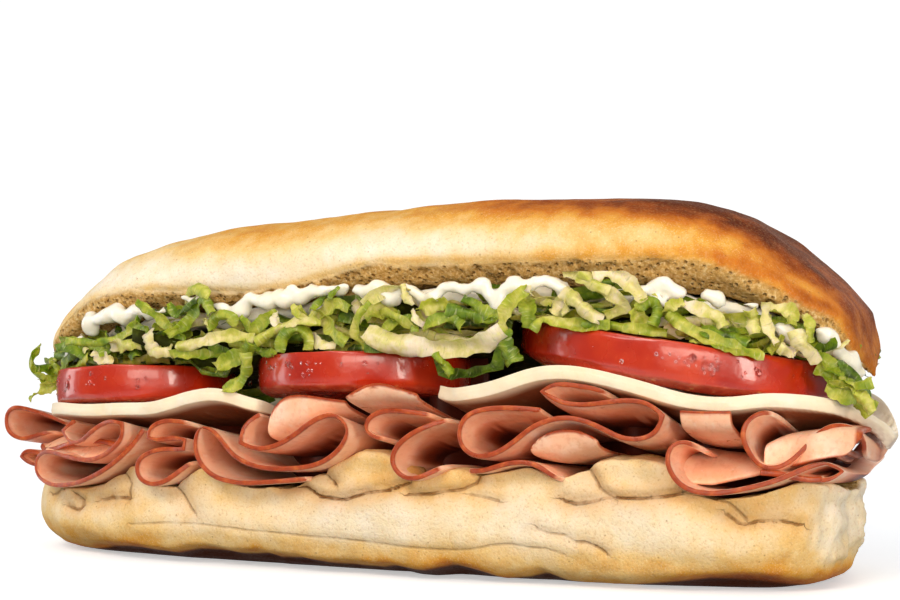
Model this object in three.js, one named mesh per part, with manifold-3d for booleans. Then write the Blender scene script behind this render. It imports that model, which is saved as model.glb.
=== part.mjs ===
// A submarine sandwich on a soft white roll, standing on its heel.
// +X runs along the roll, -Y is the open front, +Z is up, and all sizes are in millimetres.
// From the table up: heel of the roll, folded ham, cheese, tomato, shredded lettuce, mayonnaise, crown.
import * as THREE from "three";
import { mergeVertices } from "three/addons/utils/BufferGeometryUtils.js";
import Module from "manifold-3d";

const wasm = await Module();
wasm.setup();

// Driving dimensions of the roll.
const HEEL = { left: -106, right: 101, width: 74 };
const CROWN = { left: -102, right: 101.6, width: 73 };
const PLAN_SQUARENESS = 3.1; // 2 would be an ellipse, more is blunter
const CROWN_DOME = 15.6;
const CRUMB_BULGE = 3.8; // the soft crumb hangs below the crust's edge
const INNER_INSET = 15; // how far inside the plan the innermost ring of a layer lies
const SPINE_HALF = 66; // rings shrink towards a line of twice this length
const PLAN_STEPS = 42;

// The filling is pressed together in the middle of the roll and springs open towards its rim.
const PRESS = 8.5; // how far the top of the ham comes down in the middle
const PRESS_REACH = 30; // from the rim to where the press is full
const PRESS_FROM = 16; // nothing below this height moves
const PRESS_TO = 40; // and all above this one moves fully

// Driving dimensions of the filling.
const HAM_THICKNESS = 1.25;
const CHEESE_THICKNESS = 2;
const MAYO_THICKNESS = 3.2;
const MAYO_INSET = 4.6; // its mean edge, inside the crown's
const HEAP_INSET = 8; // the lettuce core's edge, inside the crown's
const SHRED_THICKNESS = 0.8;
const OVERHANG = 4; // the filling stands out that far past the roll
const GAP = 0.35; // between neighbours

// Height of the heel's upper rim and of the crown's crust edge over x.
const HEEL_RIM = [
  [-107, 19], [-99, 18.6], [-94, 17.2], [-87, 15.6], [-75, 15.6], [-65, 18.2], [-56, 17.3], [-48, 18.2],
  [-43, 20], [-31, 18.4], [-20, 19], [-15, 19.4], [-10, 21.8], [-2, 26.2], [2.4, 25.4], [5.8, 21.6],
  [9, 20.4], [15, 20.8], [26, 22.4], [31, 23.6], [37, 24.2], [40.4, 23], [43.5, 20.6], [46.6, 19.3],
  [49.4, 22], [53.5, 26.6], [60, 28.2], [65, 24.4], [69, 20.4], [73, 19], [79, 19.2], [86, 21.2],
  [95, 22.2], [104, 22.6],
];
const CRUST_EDGE = [
  [-106, 46.5], [-97, 47.8], [-90, 50.5], [-83.5, 55], [-74, 59.8], [-58, 62.6], [-44, 63.4], [-17, 65],
  [-8, 66.4], [7, 67.8], [30, 68.2], [52, 67.8], [63, 67.2], [73, 65.2], [82, 61.6], [91, 55.5],
  [97, 49.5], [103, 40],
];

const clamp = (v, low, high) => Math.min(high, Math.max(low, v));
const smooth = (t) => t * t * (3 - 2 * t);
const ramp = (v, from, to) => smooth(clamp((v - from) / (to - from), 0, 1));

// Height at x on a curve through the points, with no overshoot.
function heightOn(points, x) {
  const last = points.length - 1;
  if (x <= points[0][0]) return points[0][1];
  if (x >= points[last][0]) return points[last][1];
  const i = points.findIndex(([px], k) => k < last && x < points[k + 1][0]);
  const [x0, z0] = points[i];
  const [x1, z1] = points[i + 1];
  const t = (x - x0) / (x1 - x0);
  return z0 + (z1 - z0) * (0.5 * smooth(t) + 0.5 * t);
}

const crustEdge = (x) => heightOn(CRUST_EDGE, x);
const crumbBulge = (x) => 0.9 + CRUMB_BULGE * (1 - ramp(Math.abs(x), 68, 96));
const crumbHeight = (x) => crustEdge(x) - crumbBulge(x);

// Half of a plan's width at x, for a plan grown by the given amount.
function halfWidth(x, grow = 0, plan = HEEL) {
  const middle = (plan.left + plan.right) / 2;
  const reach = (plan.right - plan.left) / 2 + grow;
  const along = Math.min(Math.abs(x - middle) / reach, 1);
  return (plan.width / 2 + grow) * (1 - along ** PLAN_SQUARENESS) ** (1 / PLAN_SQUARENESS);
}

// Slow waves that make dough uneven, between -1 and 1.
function doughWave(x, y, z) {
  return (
    0.5 * Math.sin(x * 0.11 + y * 0.06 + 1.3) +
    0.3 * Math.sin(x * 0.23 - z * 0.2 + 4.1) +
    0.2 * Math.sin(y * 0.21 + z * 0.17 + x * 0.05)
  );
}

// A seeded random source, the same on every run.
function seeded(seed) {
  let state = seed;
  return () => {
    state = (state * 1664525 + 1013904223) % 4294967296;
    return state / 4294967296;
  };
}

function geometryOf(vertices, triangles) {
  const geometry = new THREE.BufferGeometry();
  geometry.setAttribute("position", new THREE.Float32BufferAttribute(vertices.flat(), 3));
  geometry.setIndex(triangles.flat());
  return geometry;
}

// Where a point ends up once the filling is pressed: down by PRESS in the middle, unmoved at the rim.
const pressedRow = (x) => Math.max(halfWidth(x, 5) - PRESS_REACH, 2);
function press([x, y, z]) {
  const width = halfWidth(x, 5);
  const inside = clamp((width - Math.abs(y)) / PRESS_REACH, 0, 1);
  const rise = clamp((z - PRESS_FROM) / (PRESS_TO - PRESS_FROM), 0, 1);
  return [x, y, z - PRESS * inside * rise];
}

function toSolid(geometry) {
  const bare = geometry.clone();
  bare.deleteAttribute("normal");
  bare.deleteAttribute("uv");
  const merged = mergeVertices(bare, 1e-4);
  return new wasm.Manifold(
    new wasm.Mesh({
      numProp: 3,
      vertProperties: merged.attributes.position.array,
      triVerts: new Uint32Array(merged.index.array),
    }),
  );
}

function toGeometry(solid) {
  const mesh = solid.getMesh();
  const geometry = new THREE.BufferGeometry();
  geometry.setAttribute("position", new THREE.BufferAttribute(mesh.vertProperties, 3));
  geometry.setIndex(new THREE.BufferAttribute(mesh.triVerts, 1));
  return geometry;
}

// Points round a plan: along the front from the left tip to the right tip, then back along the rear.
function planPoints(steps, plan, grow = 0) {
  const middle = (plan.left + plan.right) / 2;
  const reach = (plan.right - plan.left) / 2 + grow;
  const front = [];
  for (let i = 0; i <= steps; i++) {
    const s = i / steps;
    const x = middle - reach * (0.6 * Math.cos(Math.PI * s) + 0.4 * (1 - 2 * s));
    front.push([x, -halfWidth(x, grow, plan)]);
  }
  const rear = front.slice(1, -1).reverse();
  return [...front, ...rear.map(([x, y]) => [x, -y])];
}

// Closes a stack of plan rings, bottom ring first. The lowest and the highest ring are filled in.
function stackRings(rings, steps) {
  const count = rings[0].length;
  const triangles = [];
  for (let r = 0; r + 1 < rings.length; r++) {
    for (let i = 0; i < count; i++) {
      const a = r * count + i;
      const b = r * count + ((i + 1) % count);
      triangles.push([a, b, b + count], [a, b + count, a + count]);
    }
  }
  const last = (rings.length - 1) * count;
  for (let i = 0; i < steps; i++) {
    const rearHere = (count - i) % count;
    const rearNext = count - i - 1;
    const strip = [[i, rearNext, i + 1]];
    if (i > 0) strip.push([i, rearHere, rearNext]);
    for (const [a, b, c] of strip) {
      if (a === b || b === c || a === c) continue;
      triangles.push([a, b, c], [last + a, last + c, last + b]);
    }
  }
  return geometryOf(rings.flat(), triangles);
}

// One ring: the plan pulled in by inset, each point lifted to height(x, y).
function ringAt(plan, inset, height) {
  return plan.map(([x, y]) => {
    const sx = clamp(x, -SPINE_HALF, SPINE_HALF);
    const reach = Math.hypot(x - sx, y) || 1;
    const keep = Math.max(reach - inset, 1.5) / reach;
    const px = sx + (x - sx) * keep;
    const py = y * keep;
    return [px, py, height(px, py)];
  });
}

// A sheet of even thickness: its profile, seen from the front, runs through the sandwich.
function sheetGeometry({ profile, thickness, steps, overhang, endInset = 0, reach = null }) {
  const curve = new THREE.CatmullRomCurve3(
    profile.map(([x, z]) => new THREE.Vector3(x, 0, z)),
    false,
    "centripetal",
  );
  const middles = curve.getSpacedPoints(steps);
  const rows = middles.map((p, i) => {
    const before = middles[Math.max(i - 1, 0)];
    const after = middles[Math.min(i + 1, steps)];
    const normal = new THREE.Vector3(before.z - after.z, 0, after.x - before.x).normalize();
    const fromEnd = Math.abs((2 * i) / steps - 1);
    const depth = Math.max(reach ?? halfWidth(p.x, overhang), 9) - endInset * fromEnd ** 6;
    const inner = Math.min(pressedRow(p.x), depth * 0.6);
    return [-depth, -inner, inner, depth].map((y) => ({
      middle: [p.x, y, p.z],
      offset: [(normal.x * thickness) / 2, 0, (normal.z * thickness) / 2],
    }));
  });
  return slabGeometry(rows);
}

// A slab between two faces: rows of points, each with the offset from its middle to its upper face.
function slabGeometry(rows) {
  const across = rows[0].length;
  const vertices = [];
  for (const row of rows) {
    for (const side of [-1, 1]) {
      for (const { middle, offset } of row) vertices.push(middle.map((v, k) => v + side * offset[k]));
    }
  }
  const at = (i, j, side) => i * 2 * across + side * across + j;
  const triangles = [];
  const quad = (a, b, c, d) => triangles.push([a, b, c], [a, c, d]);
  for (let i = 0; i + 1 < rows.length; i++) {
    for (let j = 0; j + 1 < across; j++) {
      quad(at(i, j, 1), at(i + 1, j, 1), at(i + 1, j + 1, 1), at(i, j + 1, 1));
      quad(at(i, j, 0), at(i, j + 1, 0), at(i + 1, j + 1, 0), at(i + 1, j, 0));
    }
    quad(at(i, 0, 0), at(i + 1, 0, 0), at(i + 1, 0, 1), at(i, 0, 1));
    const j = across - 1;
    quad(at(i, j, 1), at(i + 1, j, 1), at(i + 1, j, 0), at(i, j, 0));
  }
  const end = rows.length - 1;
  for (let j = 0; j + 1 < across; j++) {
    quad(at(0, j, 1), at(0, j + 1, 1), at(0, j + 1, 0), at(0, j, 0));
    quad(at(end, j, 0), at(end, j + 1, 0), at(end, j + 1, 1), at(end, j, 1));
  }
  return geometryOf(vertices.map(press), triangles);
}

// A ham leaf that comes forward through the sandwich and turns up at the front.
// Each station holds x, the height at which it comes forward and the height of its upturned edge.
function leafGeometry({ front, back = 24, stations }) {
  const t = HAM_THICKNESS / 2;
  const rows = stations.map(([x, low, high]) => {
    const inner = pressedRow(x);
    return [
      { middle: [x, front, high], offset: [0, t, 0.05] },
      { middle: [x, front + 0.6, low + 1 + 0.3 * (high - low - 1)], offset: [0, t * 0.9, t * 0.4] },
      { middle: [x, front + 3, low + t], offset: [0, t * 0.3, t * 0.95] },
      { middle: [x, -inner, low + t], offset: [0, 0, t] },
      { middle: [x, back, low + t], offset: [0, 0, t] },
    ];
  });
  return slabGeometry(rows);
}

// The folds of each ham slice: how far it stands out, and its cut edge seen from the front, [x, z].
const HAM_FOLDS = [
  { reach: 23, profile: [[-91, 33], [-95, 34.5], [-103.5, 35.5], [-108.5, 34.5], [-109.5, 31],
    [-107.5, 28], [-105, 27], [-100, 29], [-95.5, 31]] },
  { reach: 21, profile: [[-96.5, 21], [-97.5, 22.5], [-100.5, 24], [-104, 24.5], [-106, 23], [-104, 21.5],
    [-100.5, 20.5]] },
  { out: 4, profile: [[-81.5, 33.5], [-84.5, 30.5], [-81.5, 27.5], [-76.5, 28], [-71.5, 31.5], [-66, 33.5],
    [-62.5, 32.5], [-62, 30], [-65.5, 26.5], [-72.5, 23.5], [-81, 24], [-90, 25], [-94.5, 22.5],
    [-93.5, 19], [-87.5, 17], [-79.5, 17.5], [-70.5, 20.5], [-64, 24.5], [-60, 29], [-58.5, 32]] },
  { out: 3.5, profile: [[-45, 33.5], [-52.5, 33.5], [-55.5, 31.5], [-56, 30], [-54, 29], [-49, 29.5],
    [-45.5, 29.5], [-44.5, 28], [-46, 27], [-50.5, 27], [-55.5, 26], [-59, 23.5], [-59, 21], [-57, 19],
    [-52, 19], [-47.5, 22], [-44.5, 25]] },
  { out: 5, profile: [[-14.5, 21.5], [-22, 20.5], [-31.5, 20], [-39, 22.5], [-42, 28.5], [-40, 32.5],
    [-36.5, 32], [-33, 27.5], [-27, 24], [-18, 23.5], [-9, 25], [-3, 30], [-2.5, 33], [-5, 36],
    [-10, 35], [-18.5, 29.5], [-25, 27.5], [-30, 29], [-30, 33], [-26, 36]] },
  { out: 3.5, profile: [[16.5, 36.5], [10.5, 37], [5, 37], [1.5, 35.5], [0.5, 33], [3, 31],
    [5.5, 31]] },
  { out: 4.5, profile: [[21, 36], [19, 35], [13, 32.5], [8, 28.5], [7.5, 24.5], [11.5, 22], [16, 23.5],
    [19.5, 26]] },
  { out: 4.5, profile: [[40.5, 38], [31, 38], [25, 36.5], [22.5, 31.5], [25, 28], [29, 27.5],
    [34.5, 30], [39.5, 34], [46.5, 36], [52.5, 34.5], [59, 31.5], [64.5, 32.5], [66.5, 36.5], [63, 39.5],
    [56.5, 39.5], [49, 38.5], [43, 40], [41, 41.5], [43.5, 43], [48.5, 43],
    [52.5, 42.5], [55.5, 41.5]] },
  { out: 3, profile: [[22.5, 25], [27, 24.5], [33.5, 26.5], [39, 26.5], [45, 22.5]] },
  { out: 5, profile: [[73.5, 29.5], [70.5, 32], [67.5, 30.5], [67, 27.5], [70, 22.5], [76, 21],
    [87, 23.5], [95, 27], [98, 27], [99.5, 25], [97, 23.5], [93.5, 24]] },
  { out: 4, profile: [[88, 37.5], [85, 38], [81.5, 34.5], [82, 30.5], [85, 26.5], [88.5, 26.5],
    [93, 30.5], [96.5, 34.5], [100.5, 35], [102.5, 32], [102, 28.5]] },
  { reach: 25, profile: [[98.5, 30], [98, 31.5], [97, 31.5], [96, 29.5]] },
];
const HAM_LEAVES = [
  { front: -38.5, stations: [[-24.5, 30, 33], [-21.5, 30.5, 40.5], [-15, 33.5, 41], [-9.5, 36.5, 40],
    [-4.5, 37.5, 39.5]] },
  { front: -43, stations: [[-2.5, 38, 39.5], [4, 38.5, 43.5], [10.5, 38.5, 41.5], [14.5, 38, 40.5]] },
  { front: -37, stations: [[37.5, 28, 30], [40, 27.5, 32.5], [43, 27, 34], [48, 28, 34],
    [52.5, 29.5, 32]] },
  { front: -36, stations: [[69.5, 33.5, 38], [73.5, 32.5, 37.5], [78, 32.5, 37.5], [80, 33, 37.5]] },
];

// The two cheese slices, seen from the front.
const CHEESE_PROFILES = [
  [[-89, 36], [-84, 36], [-73.5, 35.5], [-60.5, 36], [-53.5, 36.5], [-43.5, 39], [-37.5, 40],
    [-34, 39.5], [-30, 38.5], [-26.5, 38.5]],
  [[15.5, 42.5], [19, 41], [24.5, 41], [32.5, 42.5], [40, 45], [45.5, 45.5], [51.5, 44.5], [62, 42],
    [73, 39], [80, 39], [85.5, 40], [93, 39.5], [99.5, 38.5], [104, 35.5], [105.5, 31]],
];

// Tomato slices: centre, radius, lower face at the centre, and how it rises to the front and along +X.
const TOMATOES = [
  { x: -71.5, y: -15.5, radius: 22.5, base: 36, tilt: 0.1, slope: 0.045, thick: 7.8 },
  { x: -11.6, y: -15, radius: 25.6, base: 39.5, tilt: 0.1, slope: 0.03, thick: 7.4 },
  { x: 61, y: -4, radius: 36, base: 43.7, tilt: 0.03, slope: -0.145, thick: 7.8 },
];

// The heel: flat below, full at the sides, dented above by the ham that lies on it, with a creased flank.
function heelGeometry() {
  const plan = planPoints(PLAN_STEPS, HEEL);
  const rim = (x) => heightOn(HEEL_RIM, x);
  const flank = (share, bulge) => (x, y) => rim(x) * share + bulge * doughWave(x, y, 0);
  const rings = [
    ringAt(plan, 20, () => 0),
    ringAt(plan, 12, () => 0),
    ringAt(plan, 7, (x, y) => 1 + 0.5 * doughWave(x, y, 2)),
    ringAt(plan, 2.6, (x, y) => 3.8 + 0.6 * doughWave(x, y, 5)),
    ringAt(plan, 0.3, flank(0.42, 0.5)),
    ringAt(plan, 0, flank(0.6, 0.6)),
    ringAt(plan, 1.5, flank(0.76, 0.4)),
    ringAt(plan, 0.7, flank(0.9, 0.2)),
    ringAt(plan, 3.2, (x) => rim(x)),
    ringAt(plan, INNER_INSET, (x) => rim(x) - 0.4),
  ];
  return stackRings(rings.map((ring) => ring.map(press)), PLAN_STEPS);
}

// The crown: a low dome over an arched edge, its soft crumb bulging below the crust.
function crownGeometry(grow = 0) {
  const plan = planPoints(PLAN_STEPS, CROWN, grow);
  const lower = (x) => 1 - 0.2 * ramp(Math.abs(x - 8), 12, 88);
  const dome = (share) => (x, y) =>
    crustEdge(x) + share * CROWN_DOME * lower(x) + 0.35 * doughWave(x, y, 0);
  const below = (share) => (x) => crustEdge(x) - share * crumbBulge(x) - grow;
  const rings = [
    ringAt(plan, INNER_INSET, below(1)),
    ringAt(plan, 7.5, below(1)),
    ringAt(plan, 4.5, below(0.8)),
    ringAt(plan, 1.2, below(0.05)),
    ringAt(plan, 0, dome(0.16)),
    ringAt(plan, 0.6, dome(0.34)),
    ringAt(plan, 2.8, dome(0.55)),
    ringAt(plan, 7, dome(0.77)),
    ringAt(plan, 13.5, dome(0.93)),
    ringAt(plan, 24, dome(1)),
  ];
  return stackRings(rings, PLAN_STEPS);
}

// Mayonnaise: spread under the crumb, its edge in lobes of uneven size.
function mayoGeometry(grow = 0) {
  const steps = 42;
  const edge = planPoints(steps, CROWN, grow - MAYO_INSET);
  const lobes = (x, y) =>
    1.4 * Math.sin(x * 0.33 + 0.8) + 0.8 * Math.sin(x * 0.71 + y * 0.1 + 2) + 0.4 * Math.sin(x * 1.13);
  const plan = edge.map(([x, y]) => {
    const reach = 1 + lobes(x, y) / Math.max(Math.hypot(x, y), 20);
    return [x * 0.965 + 1, y * reach];
  });
  const top = (x) => crumbHeight(x) - 2 * GAP + grow;
  const sag = (share) => (x) => {
    const drop = MAYO_THICKNESS * (1 + 0.25 * Math.sin(x * 0.45 + 1)) + grow;
    return top(x) - grow - share * drop;
  };
  const inner = INNER_INSET - MAYO_INSET;
  const rings = [
    ringAt(plan, inner, sag(1)),
    ringAt(plan, 1.8, sag(1)),
    ringAt(plan, 0, sag(0.5)),
    ringAt(plan, 1, top),
    ringAt(plan, inner, top),
  ];
  return stackRings(rings, steps);
}

function tomatoGeometry({ x, y, radius, base, tilt, slope, thick }, grow = 0) {
  const rim = radius + grow;
  const low = -grow;
  const high = thick + grow;
  const profile = [
    [0, low],
    [rim - 1, low],
    [rim - 0.15, low + 1.3],
    [rim, (low + high) / 2],
    [rim - 0.15, high - 1.3],
    [rim - 1, high],
    [0, high],
  ].map(([r, z]) => new THREE.Vector2(r, z));
  const slice = new THREE.LatheGeometry(profile, 28).rotateX(Math.PI / 2);
  slice.deleteAttribute("normal");
  slice.deleteAttribute("uv");
  const merged = mergeVertices(slice, 1e-4);
  const at = merged.attributes.position;
  for (let i = 0; i < at.count; i++) {
    const angle = Math.atan2(at.getY(i), at.getX(i));
    const wobble = 1 + 0.015 * Math.sin(3 * angle + x);
    const [px, py] = [at.getX(i) * wobble, at.getY(i) * wobble];
    at.setXYZ(i, x + px, y + py, base + at.getZ(i) - tilt * py + slope * px);
  }
  return merged;
}

// Where the heap of lettuce lies: on the tomato, under the mayonnaise, both with a gap.
function tomatoTop(x) {
  let top = 42.5;
  for (const t of TOMATOES) {
    const along = clamp(x - t.x, -t.radius, t.radius);
    const level = t.base + t.thick + 0.6 * t.tilt * t.radius + t.slope * along;
    const beyond = Math.abs(x - t.x - along);
    top = Math.max(top, level - 0.8 * beyond);
  }
  return top + GAP;
}
const lettuceTop = (x) => crumbHeight(x) - 1.25 * MAYO_THICKNESS - 2 * GAP;

// At the back there is no tomato, so the heap reaches down to the cheese.
const HEAP_BACK = [
  [-95, 39], [-60, 38.5], [-38, 41.5], [-24, 40], [2, 39.5], [15, 42], [30, 44.5], [46, 49], [62, 45.5],
  [76, 42], [100, 40],
];

function lettuceCore() {
  const steps = 18;
  const plan = planPoints(steps, CROWN, -HEAP_INSET);
  const low = (x, y) => (y > 0 ? Math.min(heightOn(HEAP_BACK, x), tomatoTop(x)) : tomatoTop(x));
  const top = (x) => Math.max(lettuceTop(x), tomatoTop(x) + 1);
  const inner = INNER_INSET - HEAP_INSET;
  const rings = [
    ringAt(plan, inner, low),
    ringAt(plan, 1, low),
    ringAt(plan, 0, (x, y) => (low(x, y) + top(x)) / 2),
    ringAt(plan, 1, top),
    ringAt(plan, inner, top),
  ];
  return stackRings(rings, steps);
}

// One shred: a thin strip that bends in a plane and twists about its own line.
function shredGeometry({ at, heading, climb, length, width, bend, twist, roll }) {
  const steps = 6;
  const half = SHRED_THICKNESS / 2;
  const point = new THREE.Vector3(...at);
  const vertices = [];
  let turn = heading - bend / 2;
  for (let i = 0; i <= steps; i++) {
    const s = i / steps;
    const lift = climb * Math.cos(s * 4 + roll);
    const forward = new THREE.Vector3(Math.cos(turn), 0.45 * Math.sin(turn * 1.7), lift).normalize();
    const up = new THREE.Vector3(0, 0, 1).applyAxisAngle(forward, roll + twist * s);
    const across = new THREE.Vector3().crossVectors(up, forward).normalize();
    const breadth = (width / 2) * (0.72 + 0.28 * Math.sin(Math.PI * s));
    const place = (a, b) =>
      point.clone().addScaledVector(up, a * breadth).addScaledVector(across, b * half).toArray();
    vertices.push(place(-1, -1), place(1, -1), place(1, 1), place(-1, 1));
    point.addScaledVector(forward, length / steps);
    turn += bend / steps;
  }
  const triangles = [];
  const quad = (a, b, c, d) => triangles.push([a, b, c], [a, c, d]);
  for (let i = 0; i < steps; i++) {
    for (let k = 0; k < 4; k++) {
      const a = 4 * i + k;
      const b = 4 * i + ((k + 1) % 4);
      quad(a, a + 4, b + 4, b);
    }
  }
  const end = 4 * steps;
  quad(0, 1, 2, 3);
  quad(end, end + 3, end + 2, end + 1);
  return geometryOf(vertices, triangles);
}

// Shreds all round the heap, closest together at the front.
function shreds() {
  const random = seeded(11);
  const between = (low, high) => low + (high - low) * random();
  const made = [];
  const sides = [
    { count: 20, side: -1 },
    { count: 12, side: 1 },
  ];
  for (const { count, side } of sides) {
    for (let i = 0; i < count; i++) {
      const x = -92 + ((i + 0.5) * 184) / count + between(-3, 3);
      const low = tomatoTop(x) + 2;
      const high = Math.max(lettuceTop(x) + 1, low + 2);
      const length = between(17, 30);
      const facing = random() < 0.5 ? 0 : Math.PI;
      made.push({
        at: [
          x - Math.cos(facing) * length * 0.5,
          side * (halfWidth(x, -7) + between(-1, 3)),
          between(low, high),
        ],
        heading: facing,
        climb: between(-0.5, 0.5),
        length,
        width: between(3.4, 5.4),
        bend: between(-1.2, 1.2),
        twist: between(-1.2, 1.2),
        roll: between(-0.5, 0.5),
      });
    }
  }
  return [...made, ...HANGING_SHREDS];
}

// Shreds that hang where the tomato leaves room, at both ends and between the slices:
// start, heading, climb, length, width, bend, twist and roll.
const HANGING_SHREDS = [
  [[-92, -22, 50], Math.PI, -1.2, 20, 4.6, 0.8, 0.6, 0.4],
  [[-50, -31, 49], 0.2, -1.1, 17, 4.4, 0.5, 0.9, 0.2],
  [[-40, -31, 50], 2.9, -0.9, 14, 3.8, -0.6, 0.7, -0.3],
  [[12, -32, 53], 0.3, -1.1, 16, 4.2, 0.6, -0.8, 0.3],
  [[26, -31, 53], 3, -0.9, 15, 4, -0.5, 0.6, 0.2],
  [[90, -20, 47], 0.3, -0.8, 20, 5, 0.5, 0.4, 0.3],
].map(([at, heading, climb, length, width, bend, twist, roll]) => {
  return { at, heading, climb, length, width, bend, twist, roll };
});

function lettuceSolid() {
  let heap = toSolid(lettuceCore());
  for (const shred of shreds()) heap = heap.add(toSolid(shredGeometry(shred)));
  const neighbours = [
    crownGeometry(GAP),
    mayoGeometry(GAP),
    ...TOMATOES.map((tomato) => tomatoGeometry(tomato, GAP)),
    ...CHEESE_PROFILES.map((profile) => cheeseGeometry(profile, GAP)),
    ...HAM_LEAVES.map((leaf) => leafGeometry(leaf)),
  ];
  for (const neighbour of neighbours) heap = heap.subtract(toSolid(neighbour));
  const pieces = heap.decompose().sort((a, b) => b.volume() - a.volume());
  return pieces[0];
}

function cheeseGeometry(profile, grow = 0) {
  return sheetGeometry({
    profile,
    thickness: CHEESE_THICKNESS + 2 * grow,
    steps: 20,
    overhang: 3.5 + grow,
    endInset: 6,
  });
}

const hamGeometry = ({ profile, reach, out }) =>
  sheetGeometry({
    profile,
    thickness: HAM_THICKNESS,
    steps: Math.max(8, Math.round(1.35 * profile.length)),
    overhang: out,
    endInset: 3,
    reach,
  });

const colours = {
  crust: [0xd9a55c, 0.75],
  ham: [0xd98f78, 0.5],
  cheese: [0xf1e6c8, 0.5],
  tomato: [0xb8281a, 0.25],
  lettuce: [0x93a93c, 0.5],
  mayonnaise: [0xf4efdf, 0.3],
};
const materials = Object.fromEntries(
  Object.entries(colours).map(([name, [color, roughness]]) => [
    name,
    new THREE.MeshStandardMaterial({ color, roughness, metalness: 0 }),
  ]),
);

const sandwich = new THREE.Group();
function place(name, geometry, material) {
  const mesh = new THREE.Mesh(geometry, material);
  mesh.name = name;
  sandwich.add(mesh);
}

place("roll_heel", heelGeometry(), materials.crust);
const ham = [...HAM_FOLDS.map(hamGeometry), ...HAM_LEAVES.map(leafGeometry)];
ham.forEach((geometry, i) => place(`ham_${i + 1}`, geometry, materials.ham));
CHEESE_PROFILES.forEach((profile, i) => place(`cheese_${i + 1}`, cheeseGeometry(profile), materials.cheese));
TOMATOES.forEach((tomato, i) => place(`tomato_${i + 1}`, tomatoGeometry(tomato), materials.tomato));
place("lettuce", toGeometry(lettuceSolid()), materials.lettuce);
place("mayonnaise", mayoGeometry(), materials.mayonnaise);
place("roll_crown", crownGeometry(), materials.crust);

// The frame's origin is under the middle of the whole.
const middle = new THREE.Box3().setFromObject(sandwich).getCenter(new THREE.Vector3());
for (const mesh of sandwich.children) mesh.geometry.translate(-middle.x, -middle.y, 0);

export default sandwich;
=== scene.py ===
"""A submarine sandwich on a soft white roll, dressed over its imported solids.

Tables and shaping are in millimetres, the finished pieces in metres.
"""

import math
import random

import bpy
import numpy as np
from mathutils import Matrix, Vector
from mathutils.bvhtree import BVHTree


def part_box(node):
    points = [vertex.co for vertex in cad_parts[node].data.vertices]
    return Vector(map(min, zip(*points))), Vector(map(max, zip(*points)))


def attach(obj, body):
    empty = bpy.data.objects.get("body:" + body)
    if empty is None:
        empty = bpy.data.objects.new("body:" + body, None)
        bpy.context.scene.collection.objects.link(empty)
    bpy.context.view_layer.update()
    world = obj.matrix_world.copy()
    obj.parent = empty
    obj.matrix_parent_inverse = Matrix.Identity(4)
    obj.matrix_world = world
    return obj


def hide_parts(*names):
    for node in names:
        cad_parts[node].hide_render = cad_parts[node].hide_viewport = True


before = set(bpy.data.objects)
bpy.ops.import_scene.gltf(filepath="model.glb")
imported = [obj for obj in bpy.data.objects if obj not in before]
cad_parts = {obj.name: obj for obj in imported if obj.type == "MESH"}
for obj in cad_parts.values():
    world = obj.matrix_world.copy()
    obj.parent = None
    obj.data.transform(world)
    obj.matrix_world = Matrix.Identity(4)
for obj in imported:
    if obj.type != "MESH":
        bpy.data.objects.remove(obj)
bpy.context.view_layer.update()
MM = 0.001
BREAD_VOXEL, MAYO_VOXEL = ((0.8, 0.7))
HAM = sorted(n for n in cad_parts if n.startswith("ham_"))
# Folds with a higher number are leaves turned up at the front.
LAST_HAM_LOOP = 12

# The plans of the roll's halves, rounded oblongs, and the crown's dome over its crust edge.
FRONT, BEHIND = -1, 1
MIDDLE_Y = 0.8
CROWN_PLAN = {"left": -100.35, "right": 103.25, "width": 73}
HEEL_PLAN = {"left": -104.35, "right": 102.65, "width": 74}
CROWN_MIDDLE_X = (CROWN_PLAN["left"] + CROWN_PLAN["right"]) / 2
CROWN_REACH = (CROWN_PLAN["right"] - CROWN_PLAN["left"]) / 2
SQUARENESS = 3.1
CROWN_DOME = 15.6
# Height of the crown's crust edge, where skin meets crumb, at x.
CRUST_EDGE = [
    (-104, 46.5), (-94, 50), (-91, 52.4), (-87, 56.2), (-82.4, 59.4), (-77.2, 61.4), (-67.1, 62.9), (-54.3, 63.6),
    (-47.3, 62.8), (-28.9, 62.7), (-17.4, 63.9), (-2.7, 67.4), (4.4, 68.4), (18.5, 68.5), (38.4, 67.9), (63.2, 68.5),
    (72, 67.9), (80.6, 65.6), (86.2, 62.7), (91.5, 60.1), (95.5, 57.1), (99, 52.2), (101.9, 46.9), (103.3, 43.2),
]

# How much fuller the baked crown is than its solid: its top, at x, and its two ends, at z.
TOP_SWELL = [
    (-104, 2.8), (-94, 2.4), (-84, 1.9), (-74, 1.3), (-66, 1.4), (-54, 1.2), (-43, 1.6), (-32, 1.3), (-21, 1.2),
    (-10, 0.5), (0, -0.3), (11, -0.5), (31, -0.5), (50, 0.2), (60, 0.7), (69, 1.1), (78, 1.2), (87, 1), (95, 1.8),
    (101, 2.4),
]
RIGHT_SWELL = [(44, 0.3), (50, 1.2), (54, 1.9), (57, 2.7), (60.5, 2.1), (63, 1.4), (66, 1), (72, 0.4)]
LEFT_SWELL = [(45, 0.2), (52, 0.5), (57, 1.2), (61, 2), (66, 2.6), (72, 2.2)]

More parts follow.
